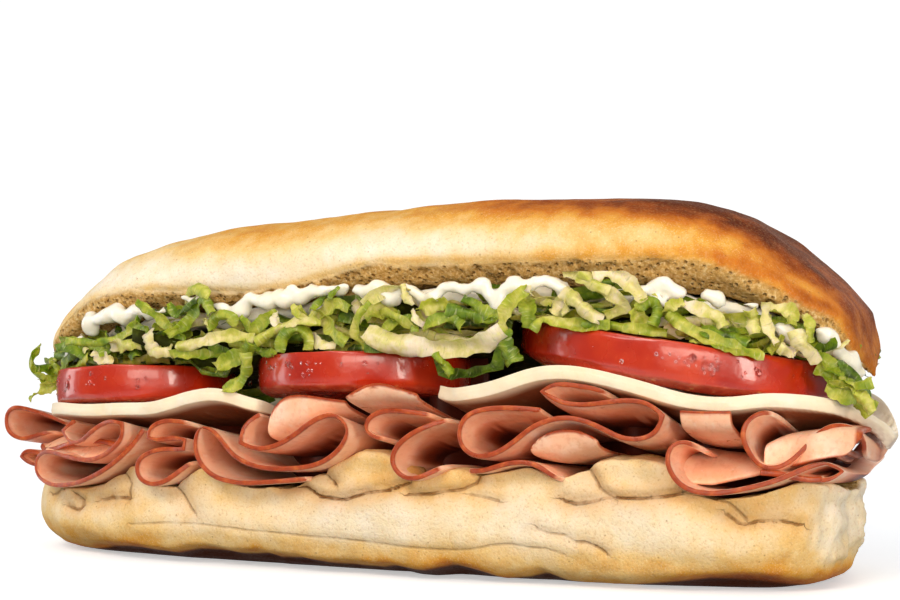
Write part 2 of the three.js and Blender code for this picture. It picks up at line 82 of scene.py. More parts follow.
# Creases in the heel's flank: side, depth, width, and the line of each, (x, z).
CREASES = [
    (FRONT, 2.0, 0.75, [(-21, 18.9), (-15, 19.1), (-11.2, 17.4), (-4, 16.8), (1.1, 18.5), (6.7, 19.4), (11, 20.8)]),
    (FRONT, 1.5, 0.7, [(11, 18.4), (16.2, 18.7), (19.7, 19.4), (23.2, 19.8), (26.6, 21.3), (27.6, 24.1)]),
    (FRONT, 1.0, 0.7, [(25.2, 19), (28.2, 18.7), (31.6, 18)]),
    (FRONT, 1.4, 0.8, [(51.2, 24.8), (53.5, 21.3), (56, 19.5)]),
    (FRONT, 1.8, 0.75, [(45.9, 18.6), (48.7, 18.1), (51.8, 18.6), (55, 19.5), (62.2, 19.3), (66.3, 19.8),
        (70.8, 20.5)]),
    (FRONT, 1.0, 0.9, [(70.8, 20.5), (76.1, 20), (79.2, 18.7), (81.7, 16.7), (83, 15.6)]),
    (FRONT, 1.5, 0.7, [(79.2, 16.4), (81.7, 15), (83, 15), (85.4, 15.5), (90, 15.4), (92.4, 14.6), (93.8, 14.1)]),
    (FRONT, 1.6, 0.65, [(-73.1, 13.6), (-68.4, 14.6), (-63.6, 15.1)]),
    (FRONT, 1.4, 0.6, [(-84.6, 11.7), (-80.6, 11.2), (-78.8, 12.8), (-81.8, 14.8)]),
    (FRONT, 1.4, 0.6, [(-92, 14.2), (-90.4, 14.4), (-87.1, 15.9)]),
    (FRONT, 0.25, 0.7, [(-61.8, 8.6), (-50.4, 9.7), (-40.6, 9.5), (-28.7, 8.7), (-17.3, 8.5), (-5.5, 8.2), (4.3, 7.6),
        (13.8, 7.4), (20.9, 7.1), (25.5, 7.5), (30, 8.4), (34.5, 8.8), (38.9, 8.1), (42.2, 8.1), (45.9, 7)]),
    (FRONT, 0.9, 0.6, [(40.2, 12.4), (42.4, 11.4), (46.3, 11.2), (48.5, 9.8), (50.6, 9.9), (52.7, 9.1), (54.8, 7.8)]),
    (FRONT, 1.3, 0.9, [(-12.8, 24.9), (-7, 20.2)]),
    (FRONT, 1.0, 1.2, [(-52, 23), (-49, 17.5), (-44, 12.5)]),
    (FRONT, 0.9, 1.2, [(-66, 22), (-63, 18), (-63.6, 15.1)]),
    (BEHIND, 1.4, 1.0, [(-70, 14), (-58, 12.5), (-44, 13.2), (-30, 15.6), (-21, 15.2)]),
    (BEHIND, 1.3, 1.0, [(-8, 16.5), (4, 14.3), (18, 14), (33, 16.2), (44, 18.4)]),
    (BEHIND, 1.1, 0.9, [(52, 13.4), (61, 12.2), (72, 13.6), (84, 12.8)]),
    (BEHIND, 0.5, 1.1, [(-82, 7.4), (-55, 6.6), (-20, 7.2), (12, 6.4), (47, 7.3), (80, 6.8)]),
]

# Creases are drawn as thin dark lines of painted shade by so many pairs of attributes; ones closer than the gap by
# different pairs.
SEAM_PAIRS, CREASE_GAP = 3, 6

# Height of the dark gap where the heel's foot curls up from the table, along its front; and how far the
# heel's right end is worn back, at z.
FOOT_GAPS = [
    (-104, 0), (-88, 0.3), (-80, 0.9), (-74, 2), (-66, 2.7), (-52, 1.9), (-46, 3.2), (-34, 2.8), (-28, 3.2), (-25, 2.3),
    (-18, 2.8), (-10, 1.9), (2, 1.6), (6, 2.4), (13, 1.9), (20, 3.3), (26, 1.9), (31, 0.6), (36, 1.2), (40, 2.5),
    (45, 0.5), (58, 0.2), (64, 1.2), (74, 2.4), (82, 2.2), (89, 1.4), (96, 0.3), (104, 0),
]
WORN_END = [(0, 0), (4, 1.4), (9, 2), (14, 1.9), (19, 0.9), (24, -0.4), (27, -0.8)]

# Shreds of lettuce seen along the front: how far out of the crown's plan, width, tone from cream (0) to
# deep green (1), and the line each one follows, (x, z), or (x, y, z) for those that leave the plan's edge.
FRONT_SHREDS = [
    (3.0, 2.8, 0.45, [(-98.1, -20, 50.7), (-99.9, -20.5, 47.5), (-99.9, -20, 44.5), (-97.2, -19, 42.3)]),
    (2.5, 2.0, 0.55, [(-91.7, -24, 47.3), (-90.5, -24, 45.3), (-89.3, -24, 43.4)]),
    (2.5, 3.0, 0.50, [(-101.2, -20, 36.9), (-98.4, -20, 39.2), (-95.3, -20, 40), (-92.3, -20, 40.8)]),
    (2.0, 2.8, 0.60, [(-99, -19, 42.7), (-95.9, -19.5, 41.8), (-92.9, -20, 42.8)]),
    (1.5, 3.3, 0.70, [(-87.0, 43.9), (-82.5, 47.6), (-77.8, 50.0), (-72.0, 50.1), (-70.0, 48.4)]),
    (2.5, 3.0, 0.60, [(-83.0, 42.6), (-78.3, 45.5), (-74.6, 47.9)]),
    (2.0, 2.3, 0.60, [(-71.6, 51.2), (-64.9, 52.6), (-59.9, 55.0), (-55.7, 54.0)]),
    (2.2, 3.3, 0.15, [(-74.2, 49.1), (-70.7, 47.5), (-66.7, 46.8)]),
    (1.8, 3.3, 0.25, [(-70.0, 50.1), (-64.5, 50.3), (-58.2, 50.8)]),
    (2.6, 3.8, 0.05, [(-55.8, 54.0), (-54.6, 51.2), (-54.0, 48.2)]),
    (2.2, 3.3, 0.10, [(-53.1, 48.9), (-50.8, 48.9), (-48.5, 49.4)]),
    (2.6, 2.8, 0.60, [(-58.2, 60.3), (-54.0, 57.7), (-48.8, 53.7), (-44.8, 51.9)]),
    (2.8, 3.0, 0.65, [(-49.8, 52.8), (-45.2, 55.3), (-41.3, 60.3), (-39.1, 60.7), (-36.7, 57.5)]),
    (1.6, 2.0, 0.80, [(-50.6, 60.2), (-48.9, 57.7), (-44.9, 59.0), (-41.8, 60.8)]),
    (2.0, 3.0, 0.50, [(-39.4, 54.4), (-36.4, 56.9), (-32.6, 57.3), (-31.8, 54.8)]),
    (3.2, 3.0, 0.25, [(-46.6, 50.1), (-41.3, 50.8), (-33.2, 52.6), (-26.3, 52.1)]),
    (2.2, 2.5, 0.60, [(-49.1, 48.5), (-41.2, 48.5), (-35.1, 48.1)]),
    (3.4, 3.8, 0.55, [(-36.0, 45.4), (-32.2, 47.2), (-28.0, 49.4), (-26.4, 51.2)]),
    (3.4, 3.3, 0.50, [(-33.8, 40.7), (-30.1, 42.1), (-27.7, 45.9), (-27.5, 49.0)]),
    (3.2, 2.5, 0.35, [(-25.5, 51.2), (-20.4, 54.1), (-14.3, 55.8), (-8.8, 55.6)]),
    (1.8, 3.0, 0.60, [(-30.6, 56.8), (-27.4, 54.1), (-23.8, 55.9), (-20.7, 57.9)]),
    (2.4, 2.0, 0.10, [(-21.3, 57.9), (-20.3, 55.7), (-18.5, 54.3)]),
    (2.2, 2.5, 0.45, [(-15.3, 59.8), (-14.8, 57.8), (-13.8, 56.1)]),
    (2.8, 2.8, 0.60, [(-19.0, 49.0), (-18.0, 52.8), (-15.0, 54.1), (-12.7, 52.3), (-12.5, 49.0)]),
    (1.2, 2.3, 0.70, [(-27.8, 50.8), (-25.1, 49.0), (-21.0, 48.6)]),
    (2.6, 3.3, 0.40, [(-15.6, 58.5), (-12.6, 56.1), (-9.1, 58.0), (-5.1, 59.7), (-1.9, 58.4)]),
    (3.0, 3.5, 0.45, [(-12.1, 58.0), (-8.4, 55.8), (-4.4, 52.3), (-2.5, 51.0)]),
    (2.2, 3.0, 0.05, [(-12.3, 52.5), (-9.8, 51.0), (-6.1, 50.1)]),
    (2.0, 1.3, 0.60, [(-7.4, 60.4), (-6.4, 61.7), (-5.4, 63.4)]),
    (3.4, 2.0, 0.50, [(3.6, 59.8), (0.4, 56.4), (-0.8, 52.9), (1.6, 50.1)]),
    (2.0, 3.8, 0.50, [(1.4, 56.8), (4.3, 58.3), (9.1, 56.8)]),
    (2.8, 2.3, 0.60, [(5.2, 52.3), (7.6, 55.1), (11.4, 56.3), (13.7, 55.5), (14.0, 53.3)]),
    (4.2, 4.8, 0.10, [(2.3, 53.6), (7.1, 51.2), (13.5, 50.4), (22.7, 49.7), (30.4, 51.0), (34.7, 53.7)]),
    (3.0, 1.8, 0.10, [(10.3, 63.4), (11.7, 61.3), (13.1, 59.3)]),
    (3.0, 1.8, 0.05, [(13.1, 57.8), (14.5, 55.9), (16.2, 54.2)]),
    (2.2, 3.5, 0.45, [(14.9, 57.4), (17.2, 58.7), (20.0, 59.5)]),
    (3.0, 2.8, 0.60, [(15.9, 54.0), (18.5, 55.9), (21.7, 56.3), (25.2, 54.2)]),
    (2.0, 3.3, 0.75, [(20.8, 58.2), (25.4, 57.1), (29.1, 56.3), (32.7, 57.1)]),
    (2.4, 3.0, 0.70, [(24.5, 60.7), (27.0, 59.2), (29.7, 57.5), (32.6, 57.1)]),
    (3.8, 3.3, 0.45, [(33.4, 53.3), (34.3, 57.0), (36.9, 60.1), (40.0, 62.4)]),
    (3.2, 3.8, 0.60, [(38.4, 61.2), (39.8, 57.8), (39.5, 54.1)]),
    (3.4, 4.3, 0.65, [(34.3, 53.7), (35.0, 50.4), (36.5, 46.6)]),
    (4.2, 2.0, 0.60, [(19.5, 48.7), (20.9, 46.6), (22.7, 44.1)]),
    (3.6, 2.8, 0.50, [(41.0, 53.5), (42.7, 55.9), (45.9, 55.3), (51.5, 54.7), (57.3, 54.7)]),
    (2.6, 2.8, 0.25, [(44.7, 57.2), (46.2, 59.4), (47.9, 57.2)]),
    (3.6, 3.3, 0.25, [(46.8, 65.4), (49.1, 65.8), (53.1, 63.5), (56.9, 61.6)]),
    (3.0, 3.3, 0.15, [(46.6, 61.7), (50.2, 59.4), (52.9, 56.9), (55.2, 55.7)]),
    (3.4, 3.0, 0.25, [(51.0, 65.5), (54.3, 62.8), (58.0, 60.6), (59.7, 58.3), (55.6, 56.5)]),
    (3.6, 3.3, 0.15, [(54.0, 64.3), (57.5, 65.4), (61.2, 62.8), (63.8, 59.5)]),
    (3.2, 3.3, 0.50, [(61.9, 57.7), (63.3, 54.8), (64.1, 52.4)]),
    (3.0, 2.5, 0.60, [(62.2, 58.1), (65.2, 59.3), (66.6, 57.5), (65.8, 54.6)]),
    (3.0, 2.5, 0.60, [(50.8, 55.1), (56.0, 54.5), (61.6, 54.0), (68.6, 53.0)]),
    (4.2, 3.3, 0.50, [(68.8, 57.0), (72.5, 54.2), (78.1, 51.6), (83.0, 49.6), (87.1, 48.4)]),
    (4.4, 2.3, 0.45, [(68.6, 57.2), (70.2, 58.6), (72.0, 59.4)]),
    (3.0, 3.0, 0.15, [(71.6, 59.1), (75.1, 57.8), (77.8, 56.4), (79.3, 54.0)]),
    (2.6, 3.5, 0.75, [(75.0, 53.6), (79.2, 52.4), (84.1, 50.4)]),
    (3.4, 3.0, 0.25, [(84.5, 58.0), (84.9, 55.6), (85.6, 52.8)]),
    (3.6, 2.3, 0.20, [(87.5, 59.2), (87.3, 56.0), (88.4, 53.2), (89.7, 50.8)]),
    (3.2, 3.3, 0.35, [(88.0, 58.4), (90.7, 58.0), (92.7, 56.8), (91.9, 54.6)]),
    (3.6, 2.3, 0.40, [(94.4, 57.0), (95.6, 54.6), (95.2, 51.2)]),
    (4.0, 3.8, 0.10, [(93.0, 53.4), (94.6, 50.0), (96.9, 47.0)]),
    (3.4, 3.0, 0.05, [(90.0, 50.2), (91.6, 49.2), (93.2, 49.2)]),
    (3.0, 2.0, 0.50, [(88.1, 49.2), (89.2, 50.6), (90.6, 52.2)]),
    (3.2, 3.3, 0.65, [(96.9, 48.6), (98.9, 46.4), (101.2, 44.3)]),
    (4.0, 3.0, 0.45, [(100.5, -22, 43.2), (103, -23, 42.7), (105.5, -24, 42.6), (107.6, -24, 43.2)]),
    (3.6, 3.0, 0.40, [(101.5, -22, 41.6), (104, -23, 41), (106, -23.5, 39.6), (107.4, -24, 37.2)]),
    (4.0, 1.3, 0.40, [(73.4, 51.2), (74.8, 50.8), (76.5, 50.6)]),
    (3.2, 4.2, 0.70, [(96.5, -24, 46.2), (99.5, -22.5, 44.2), (102.5, -20, 42.6), (105, -16, 40.8)]),
    (3.0, 4.4, 0.50, [(98.5, -24, 42.4), (101, -23, 41.2), (104, -21.5, 39.8), (106.6, -20, 37.4)]),
    (3.0, 3.4, 0.80, [(99.5, -20, 47.2), (101.5, -18, 45.2), (103, -15, 42.4), (103.8, -12, 40)]),
]

# Lobes of mayonnaise pressed out along the front: how far out, width, and the line of each, (x, z).
FRONT_LOBES = [
    (1.0, 3.8, [(-77.5, 54.6), (-74.6, 56.5), (-70.4, 57.4), (-67.1, 57.8), (-63.2, 57.1), (-60.1, 58.5)]),
    (0.5, 1.5, [(-79.6, 52.7), (-83.7, 49.8), (-86.5, 46.9)]),
    (0.0, 1.8, [(-60.5, 58.3), (-56.5, 57.8), (-52.1, 58.2)]),
    (0.8, 2.5, [(-46.6, 61.1), (-44.3, 60.8), (-42.6, 61.0)]),
    (0.2, 2.0, [(-38.3, 59.4), (-35.9, 58.7), (-33.7, 58.2)]),
    (1.0, 3.5, [(-32.4, 58.2), (-29.7, 60.0), (-25.8, 60.8), (-21.6, 60.6), (-18.0, 61.4), (-14.5, 62.1),
        (-11.7, 62.9)]),
    (0.4, 2.0, [(-18.9, 63.5), (-15.8, 62.7), (-13.3, 62.5)]),
    (0.2, 2.5, [(-17.5, 61.2), (-14.9, 61.4), (-12.1, 61.2)]),
    (0.9, 3.0, [(-10.5, 61.8), (-7.5, 62.6), (-4.3, 63.7)]),
    (1.4, 4.1, [(-1.1, 62.7), (1.6, 62.5), (4.5, 61.8), (7.1, 60.9)]),
    (0.8, 2.5, [(8.8, 62.4), (11.8, 62.2), (14.7, 61.3)]),
    (1.4, 3.0, [(14.7, 60.0), (16.8, 61.2), (20.1, 62.3), (23.3, 62.9), (26.5, 62.6), (29.3, 62.2),
        (31.3, 60.4)]),
    (1.6, 3.5, [(32.3, 58.8), (32.9, 61.1), (34.7, 62.3), (36.9, 62.7), (38.9, 63.3)]),
    (1.0, 3.0, [(40.2, 63.3), (42.6, 64.5), (44.6, 63.0), (46.7, 61.5)]),
    (0.8, 3.2, [(61.8, 61.8), (65.2, 62.6), (67.6, 62.2), (71.4, 61.4)]),
    (0.8, 1.3, [(65.4, 59.5), (66.8, 59.1), (67.8, 58.7)]),
    (1.4, 3.3, [(75.2, 60.5), (77.0, 60.1), (78.7, 58.9)]),
    (0.8, 1.0, [(83.1, 58.5), (84.4, 58.5), (85.5, 58.3)]),
    (0.6, 2.5, [(89.5, 53.6), (90.6, 52.4), (91.7, 51.2)]),
    (0.8, 3.0, [(95.9, 53.4), (97.3, 52.2), (99.0, 50.4), (100.2, 48.8), (101.2, 47.1), (102.0, 45.3),
        (102.6, 43.8)]),
]


def srgb(code):
    """Linear colour of a six-digit code."""
    parts = [int(code[i : i + 2], 16) / 255 for i in (0, 2, 4)]
    return [c / 12.92 if c <= 0.04045 else ((c + 0.055) / 1.055) ** 2.4 for c in parts] + [1.0]


def soft(weight, scale, radius):
    """How far light sinks into a food: its share, its depth in metres, and the depth of red, green and blue."""
    return {"Subsurface_Weight": weight, "Subsurface_Scale": scale, "Subsurface_Radius": radius}


class Finish:
    """A procedural finish, wired node by node to its surface shader."""

    def __init__(self, name, **sockets):
        self.material = bpy.data.materials.new(name)
        self.material.use_nodes = True
        self.tree = self.material.node_tree
        self.shader = self.tree.nodes["Principled BSDF"]
        for socket, value in sockets.items():
            self.shader.inputs[socket.replace("_", " ")].default_value = value
        self.place = self.node("ShaderNodeTexCoord").outputs["Object"]
        self.relief = None

    def feed(self, socket, value):
        if isinstance(value, bpy.types.NodeSocket):
            self.tree.links.new(value, socket)
        else:
            socket.default_value = value

    def node(self, kind, inputs=(), **settings):
        made = self.tree.nodes.new(kind)
        for key, value in settings.items():
            setattr(made, key, value)
        for key, value in dict(inputs).items():
            self.feed(made.inputs[key], value)
        return made

    def spot(self, name):
        """What paint() wrote on the mesh under this name."""
        return self.node("ShaderNodeAttribute", attribute_name=name).outputs["Fac"]

    def stretched(self, scale, turn=(0, 0, 0), place=None):
        """Coordinates stretched and turned, for streaks."""
        made = self.node("ShaderNodeMapping", {"Vector": place or self.place, "Scale": scale, "Rotation": turn})
        return made.outputs["Vector"]

    def noise(self, size, detail=3.0, place=None, rough=0.55):
        """Cloudy noise between 0 and 1, its swells about `size` millimetres across."""
        inputs = {"Vector": place or self.place, "Scale": 1 / (size * MM), "Detail": detail, "Roughness": rough}
        return self.node("ShaderNodeTexNoise", inputs).outputs[0]

    def cells(self, size):
        inputs = {"Vector": self.place, "Scale": 1 / (size * MM)}
        return self.node("ShaderNodeTexVoronoi", inputs).outputs["Distance"]

    def span(self, value, low, high, start=0.0, end=1.0):
        """From start to end as the value goes from low to high."""
        inputs = {"Value": value, "From Min": low, "From Max": high, "To Min": start, "To Max": end}
        return self.node("ShaderNodeMapRange", inputs, interpolation_type="SMOOTHSTEP").outputs["Result"]

    def maths(self, operation, a, b=0.0):
        return self.node("ShaderNodeMath", {0: a, 1: b}, operation=operation, use_clamp=True).outputs[0]

    def blend(self, share, a, b):
        a, b = (srgb(c) if isinstance(c, str) else c for c in (a, b))
        return self.node("ShaderNodeMix", {0: share, 6: a, 7: b}, data_type="RGBA").outputs[2]

    def ramp(self, value, *stops):
        made = self.node("ShaderNodeValToRGB", {"Fac": value})
        elements = made.color_ramp.elements
        elements.remove(elements[1])
        elements[0].position, elements[0].color = stops[0][0], srgb(stops[0][1])
        for position, colour in stops[1:]:
            elements.new(position).color = srgb(colour)
        return made.outputs["Color"]

    def bump(self, height, distance):
        """Relief of `distance` millimetres from a height between 0 and 1."""
        inputs = {"Height": height, "Distance": distance * MM, "Strength": 1.0}
        if self.relief is not None:
            inputs["Normal"] = self.relief
        self.relief = self.node("ShaderNodeBump", inputs).outputs["Normal"]
        self.feed(self.shader.inputs["Normal"], self.relief)

    def colour(self, value):
        self.feed(self.shader.inputs["Base Color"], value)

    def gloss(self, value, low, high):
        """Roughness from low to high as the value goes from 0 to 1."""
        self.feed(self.shader.inputs["Roughness"], self.span(value, 0.2, 0.8, low, high))


def crust_finish():
    f = Finish("baked crust and crumb", **soft(0.12, 0.002, (1.0, 0.6, 0.3)), Specular_IOR_Level=0.06)
    bake = f.spot("bake")
    mottle = f.noise(5, 4)
    grain = f.noise(0.55, 3)
    streak_place = f.stretched((1, 1, 0.4), (0.5, 0.35, 0.2))
    streaks = f.noise(0.6, 4, streak_place, 0.7)
    baked = f.maths("ADD", bake, f.span(mottle, 0.3, 0.7, -0.04, 0.1))
    skin = f.ramp(
        baked, (0.0, "F3EAD8"), (0.16, "EDDDBC"), (0.38, "E9C684"), (0.56, "DEA244"), (0.72, "C67426"),
        (0.86, "924618"), (1.0, "5E270E"),
    )
    pale_streaks = f.maths("MULTIPLY", f.span(streaks, 0.5, 0.75, 0.0, 0.34), f.span(bake, 0.75, 0.35, 0.25, 1.0))
    skin = f.blend(pale_streaks, skin, "F6E2B6")
    skin = f.blend(f.span(grain, 0.3, 0.48, 0.3, 0.0), skin, "B98446")
    pale_grain = f.span(f.noise(0.32, 2), 0.56, 0.68, 0.0, 0.3)
    skin = f.blend(f.maths("MULTIPLY", pale_grain, f.span(bake, 0.75, 0.45, 0.1, 1.0)), skin, "FBEBC4")
    specks = f.span(f.cells(2.6), 0.02, 0.12, 0.55, 0.0)
    skin = f.blend(specks, skin, "8A5A2C")
    # Painted shade: on the heel, "fold" tans the skin beside the creases; on the crown it carries only a faint random
    # tone.
    skin = f.blend(f.maths("MULTIPLY", f.spot("fold"), 0.5), skin, "BE8444")
    # Painted shade: a thin dark line along each crease of the heel.
    seam = 0.0
    for number in range(SEAM_PAIRS):
        thin = f.span(f.maths("ABSOLUTE", f.spot(f"seam_{number}")), 0.03, 0.24, 1.0, 0.0)
        seam = f.maths("MAXIMUM", f.maths("MULTIPLY", thin, f.spot(f"seam_depth_{number}")), seam)
    seam = f.maths("MULTIPLY", seam, f.span(f.noise(5, 3), 0.3, 0.62, 0.25, 1.0))
    skin = f.blend(seam, skin, "7A4A20")
    # Painted shadow: near-black in the gap where the heel's foot curls up from the table.
    skin = f.blend(f.spot("painted_foot_shadow"), skin, "3A1808")
    pore = f.cells(1.3)
    crumb = f.ramp(f.noise(0.8, 5, rough=0.7), (0.3, "A0783C"), (0.5, "C29A5A"), (0.68, "E2C894"))
    # Painted shade: the crumb's pores are darkened where they sink in.
    crumb = f.blend(f.span(pore, 0.1, 0.32, 0.5, 0.0), crumb, "7E5626")
    inside = f.spot("crumb")
    f.colour(f.blend(inside, skin, crumb))
    f.gloss(grain, 0.5, 0.75)
    f.bump(f.noise(2.2, 4, rough=0.6), 0.22)
    f.bump(grain, 0.12)
    f.bump(f.maths("SUBTRACT", 1.0, seam), 0.5)
    f.bump(f.maths("MULTIPLY", f.span(pore, 0.08, 0.4), inside), 0.7)
    return f.material


def ham_finish():
    f = Finish("cured ham", **soft(0.3, 0.0022, (1.0, 0.35, 0.22)), Specular_IOR_Level=0.4)
    meat = f.ramp(f.noise(7, 4), (0.3, "F7B48C"), (0.5, "FBC5A3"), (0.7, "FFD9C2"))
    fibre = f.noise(1.1, 5, f.stretched((1, 0.25, 1)), 0.65)
    meat = f.blend(f.span(fibre, 0.35, 0.5, 0.3, 0.0), meat, "DE9270")
    fat = f.span(f.noise(2.4, 3, f.stretched((1, 0.5, 1))), 0.62, 0.72, 0.0, 0.35)
    meat = f.blend(fat, meat, "FFE4D4")
    skin = f.ramp(f.noise(2, 4), (0.3, "8E320C"), (0.55, "AA4616"), (0.75, "C66C30"))
    # Painted shade: the depth painted on each slice darkens the meat to a deep red-brown further into the folds and on
    # faces turned down.
    depth = f.spot("depth")
    meat_in_painted_shade = f.ramp(depth, (0.0, "F2A678"), (0.3, "DC7E4E"), (0.6, "A84A22"), (1.0, "541A08"))
    meat = f.blend(f.span(depth, 0.05, 0.8), meat, meat_in_painted_shade)
    f.colour(f.blend(f.spot("rind"), meat, skin))
    f.gloss(f.maths("ADD", f.noise(4, 4), f.maths("MULTIPLY", depth, 0.6)), 0.2, 0.55)
    f.bump(f.noise(6, 2), 0.3)
    f.bump(fibre, 0.1)
    f.bump(f.noise(0.5, 3), 0.04)
    return f.material


def cheese_finish():
    f = Finish("sliced cheese", **soft(0.2, 0.003, (1.0, 0.75, 0.45)), Specular_IOR_Level=0.45)
    body = f.ramp(f.noise(9, 3), (0.3, "F1DFBE"), (0.55, "F5E6CB"), (0.75, "F9EDD8"))
    body = f.blend(f.span(f.noise(0.7, 3), 0.25, 0.45, 0.2, 0.0), body, "E8CFA4")
    # Painted shade: faces turned down, beyond the first few millimetres from the cut edge, are darkened to brown.
    f.colour(f.blend(f.spot("under"), body, "8A5030"))
    f.gloss(f.noise(5), 0.35, 0.55)
    f.bump(f.noise(1.4, 4), 0.09)
    return f.material


def tomato_finish():
    f = Finish("ripe tomato", **soft(0.12, 0.0025, (1.0, 0.2, 0.1)), Coat_Roughness=0.05)
    skin = f.ramp(f.noise(11, 3), (0.3, "A61F08"), (0.5, "B8290A"), (0.72, "C93A10"))
    skin = f.blend(f.span(f.noise(0.8, 3), 0.6, 0.75, 0.0, 0.18), skin, "E8613A")
    flesh = f.ramp(f.noise(2.2, 4), (0.3, "B5301A"), (0.55, "CF4A2A"), (0.75, "E27450"))
    seeds = f.span(f.cells(3.4), 0.05, 0.2, 0.6, 0.0)
    flesh = f.blend(seeds, flesh, "E9B266")
    f.feed(f.shader.inputs["Coat Weight"], f.maths("MULTIPLY", f.spot("skin"), 0.3))
    f.colour(f.blend(f.spot("skin"), flesh, skin))
    f.gloss(f.noise(6), 0.2, 0.32)
    f.bump(f.noise(4, 2), 0.12)
    f.bump(f.noise(0.6, 2), 0.02)
    return f.material


def leaf_finish():
    f = Finish("shredded lettuce", **soft(0.4, 0.0016, (0.7, 1.0, 0.25)), Specular_IOR_Level=0.32)
    leaf = f.node("ShaderNodeUVMap", uv_map="leaf").outputs["UV"]
    tone = f.spot("tone")
    patch = f.noise(2.6, 3, leaf)
    deep = f.maths("ADD", tone, f.span(patch, 0.3, 0.7, -0.12, 0.14))
    green = f.ramp(
        deep, (0.0, "F0E4C0"), (0.2, "DFD68E"), (0.42, "BCBE4C"), (0.62, "8C9C24"), (0.82, "5E7A14"),
        (1.0, "33460A"),
    )
    vein = f.noise(0.9, 3, f.stretched((1.6, 0.3, 1), (0, 0, 0.25), leaf), 0.6)
    green = f.blend(f.span(vein, 0.55, 0.72, 0.0, 0.35), green, "E4E8AC")
    green = f.blend(f.span(vein, 0.42, 0.28, 0.0, 0.4), green, "64801C")
    f.colour(green)
    f.gloss(patch, 0.25, 0.42)
    f.bump(vein, 0.25)
    f.bump(f.noise(0.7, 3), 0.08)
    return f.material


# Near-black lettuce for the core: painted shade that stands for the dark deep in the heap.
def shade_finish():
    f = Finish("lettuce in painted shade deep in the heap", Specular_IOR_Level=0.04)
    f.colour(f.ramp(f.noise(4, 4), (0.3, "181204"), (0.55, "2C300A"), (0.75, "525C16")))
    f.gloss(f.noise(3), 0.4, 0.6)
    f.bump(f.noise(2, 4), 0.5)
    return f.material


def mayo_finish():
    f = Finish("mayonnaise", **soft(0.35, 0.003, (1.0, 0.85, 0.6)), Specular_IOR_Level=0.6)
    f.colour(f.ramp(f.noise(6, 3), (0.3, "F4EED6"), (0.55, "FAF6E6"), (0.8, "FDFBF2")))
    f.gloss(f.noise(4), 0.16, 0.32)
    f.bump(f.noise(2.4, 3), 0.14)
    return f.material


def water_finish():
    f = Finish("drops of water", Transmission_Weight=1.0, IOR=1.33)
    f.colour(f.ramp(f.noise(1), (0.3, "F6F6F6"), (0.7, "FFFFFF")))
    f.gloss(f.noise(1), 0.0, 0.04)
    return f.material


def floor_finish():
    """A pale floor that melts into the white surround."""
    f = Finish("pale floor", Specular_IOR_Level=0.1, Emission_Color=(1, 1, 1, 1), Emission_Strength=0.42)
    f.colour(f.ramp(f.noise(60, 2), (0.3, "F2F7FE"), (0.7, "F5F9FF")))
    f.gloss(f.noise(40), 0.7, 0.9)
    away = f.node("ShaderNodeVectorMath", {0: f.place}, operation="LENGTH").outputs["Value"]
    clear = f.node("ShaderNodeBsdfTransparent").outputs[0]
    inputs = {0: f.span(away, 0.13, 0.3), 1: f.shader.outputs[0], 2: clear}
    melted = f.node("ShaderNodeMixShader", inputs).outputs[0]
    f.feed(f.tree.nodes["Material Output"].inputs["Surface"], melted)
    return f.material


def vectors_of(piece, kind):
    values = np.empty(len(piece.data.vertices) * 3, np.float32)
    piece.data.vertices.foreach_get(kind, values)
    return values.reshape(-1, 3).astype(float)


def points_of(piece):
    """The piece's vertices, in millimetres."""
    return vectors_of(piece, "co") / MM


def set_points(piece, co):
    piece.data.vertices.foreach_set("co", (co * MM).astype(np.float32).ravel())
    piece.data.update()


def normals_of(piece):
    return vectors_of(piece, "normal")


def paint(piece, name, values):
    """Writes one number for each vertex, which the finishes read by this name."""
    layer = piece.data.attributes.new(name, "FLOAT", "POINT")
    layer.data.foreach_set("value", np.asarray(values, np.float32))


def uneven(co, size, seed=0):
    """Smooth noise between -1 and 1 at each point, its swells about `size` across."""
    place = co / size + seed * 7.31
    cell = np.floor(place).astype(np.int64)
    part = place - cell
    part = part * part * (3 - 2 * part)
    total = np.zeros(len(co))
    for corner in range(8):
        step = np.array([corner & 1, corner >> 1 & 1, corner >> 2 & 1])
        spot = cell + step
        mixed = spot[:, 0] * 374761393 + spot[:, 1] * 668265263 + spot[:, 2] * 1274126177 + seed * 1013
        mixed = (mixed ^ (mixed >> 13)) * 1103515245
        mixed = mixed ^ (mixed >> 16)
        value = (mixed & 0xFFFF) / 32767.5 - 1
        total += value * np.prod(np.where(step, part, 1 - part), axis=1)
    return total


def ramp(value, low, high):
    """A soft step from 0 at low to 1 at high."""
    t = np.clip((value - low) / (high - low), 0, 1)
    return t * t * (3 - 2 * t)


def half_width(x, out, plan):
    """Half of the roll's width at x, for a plan grown outwards by `out`."""
    middle = (plan["left"] + plan["right"]) / 2
    reach = (plan["right"] - plan["left"]) / 2 + out
    along = np.minimum(np.abs(x - middle) / reach, 0.9999)
    return (plan["width"] / 2 + out) * (1 - along**SQUARENESS) ** (1 / SQUARENESS)


def side_at(x, out, plan, side=FRONT):
    """The y of the roll's side at x, for a plan grown outwards by `out`."""
    return MIDDLE_Y + side * float(half_width(x, out, plan))


def read(table, at):
    """What a table of pairs says at a place between its rows."""
    return np.interp(at, *zip(*table))


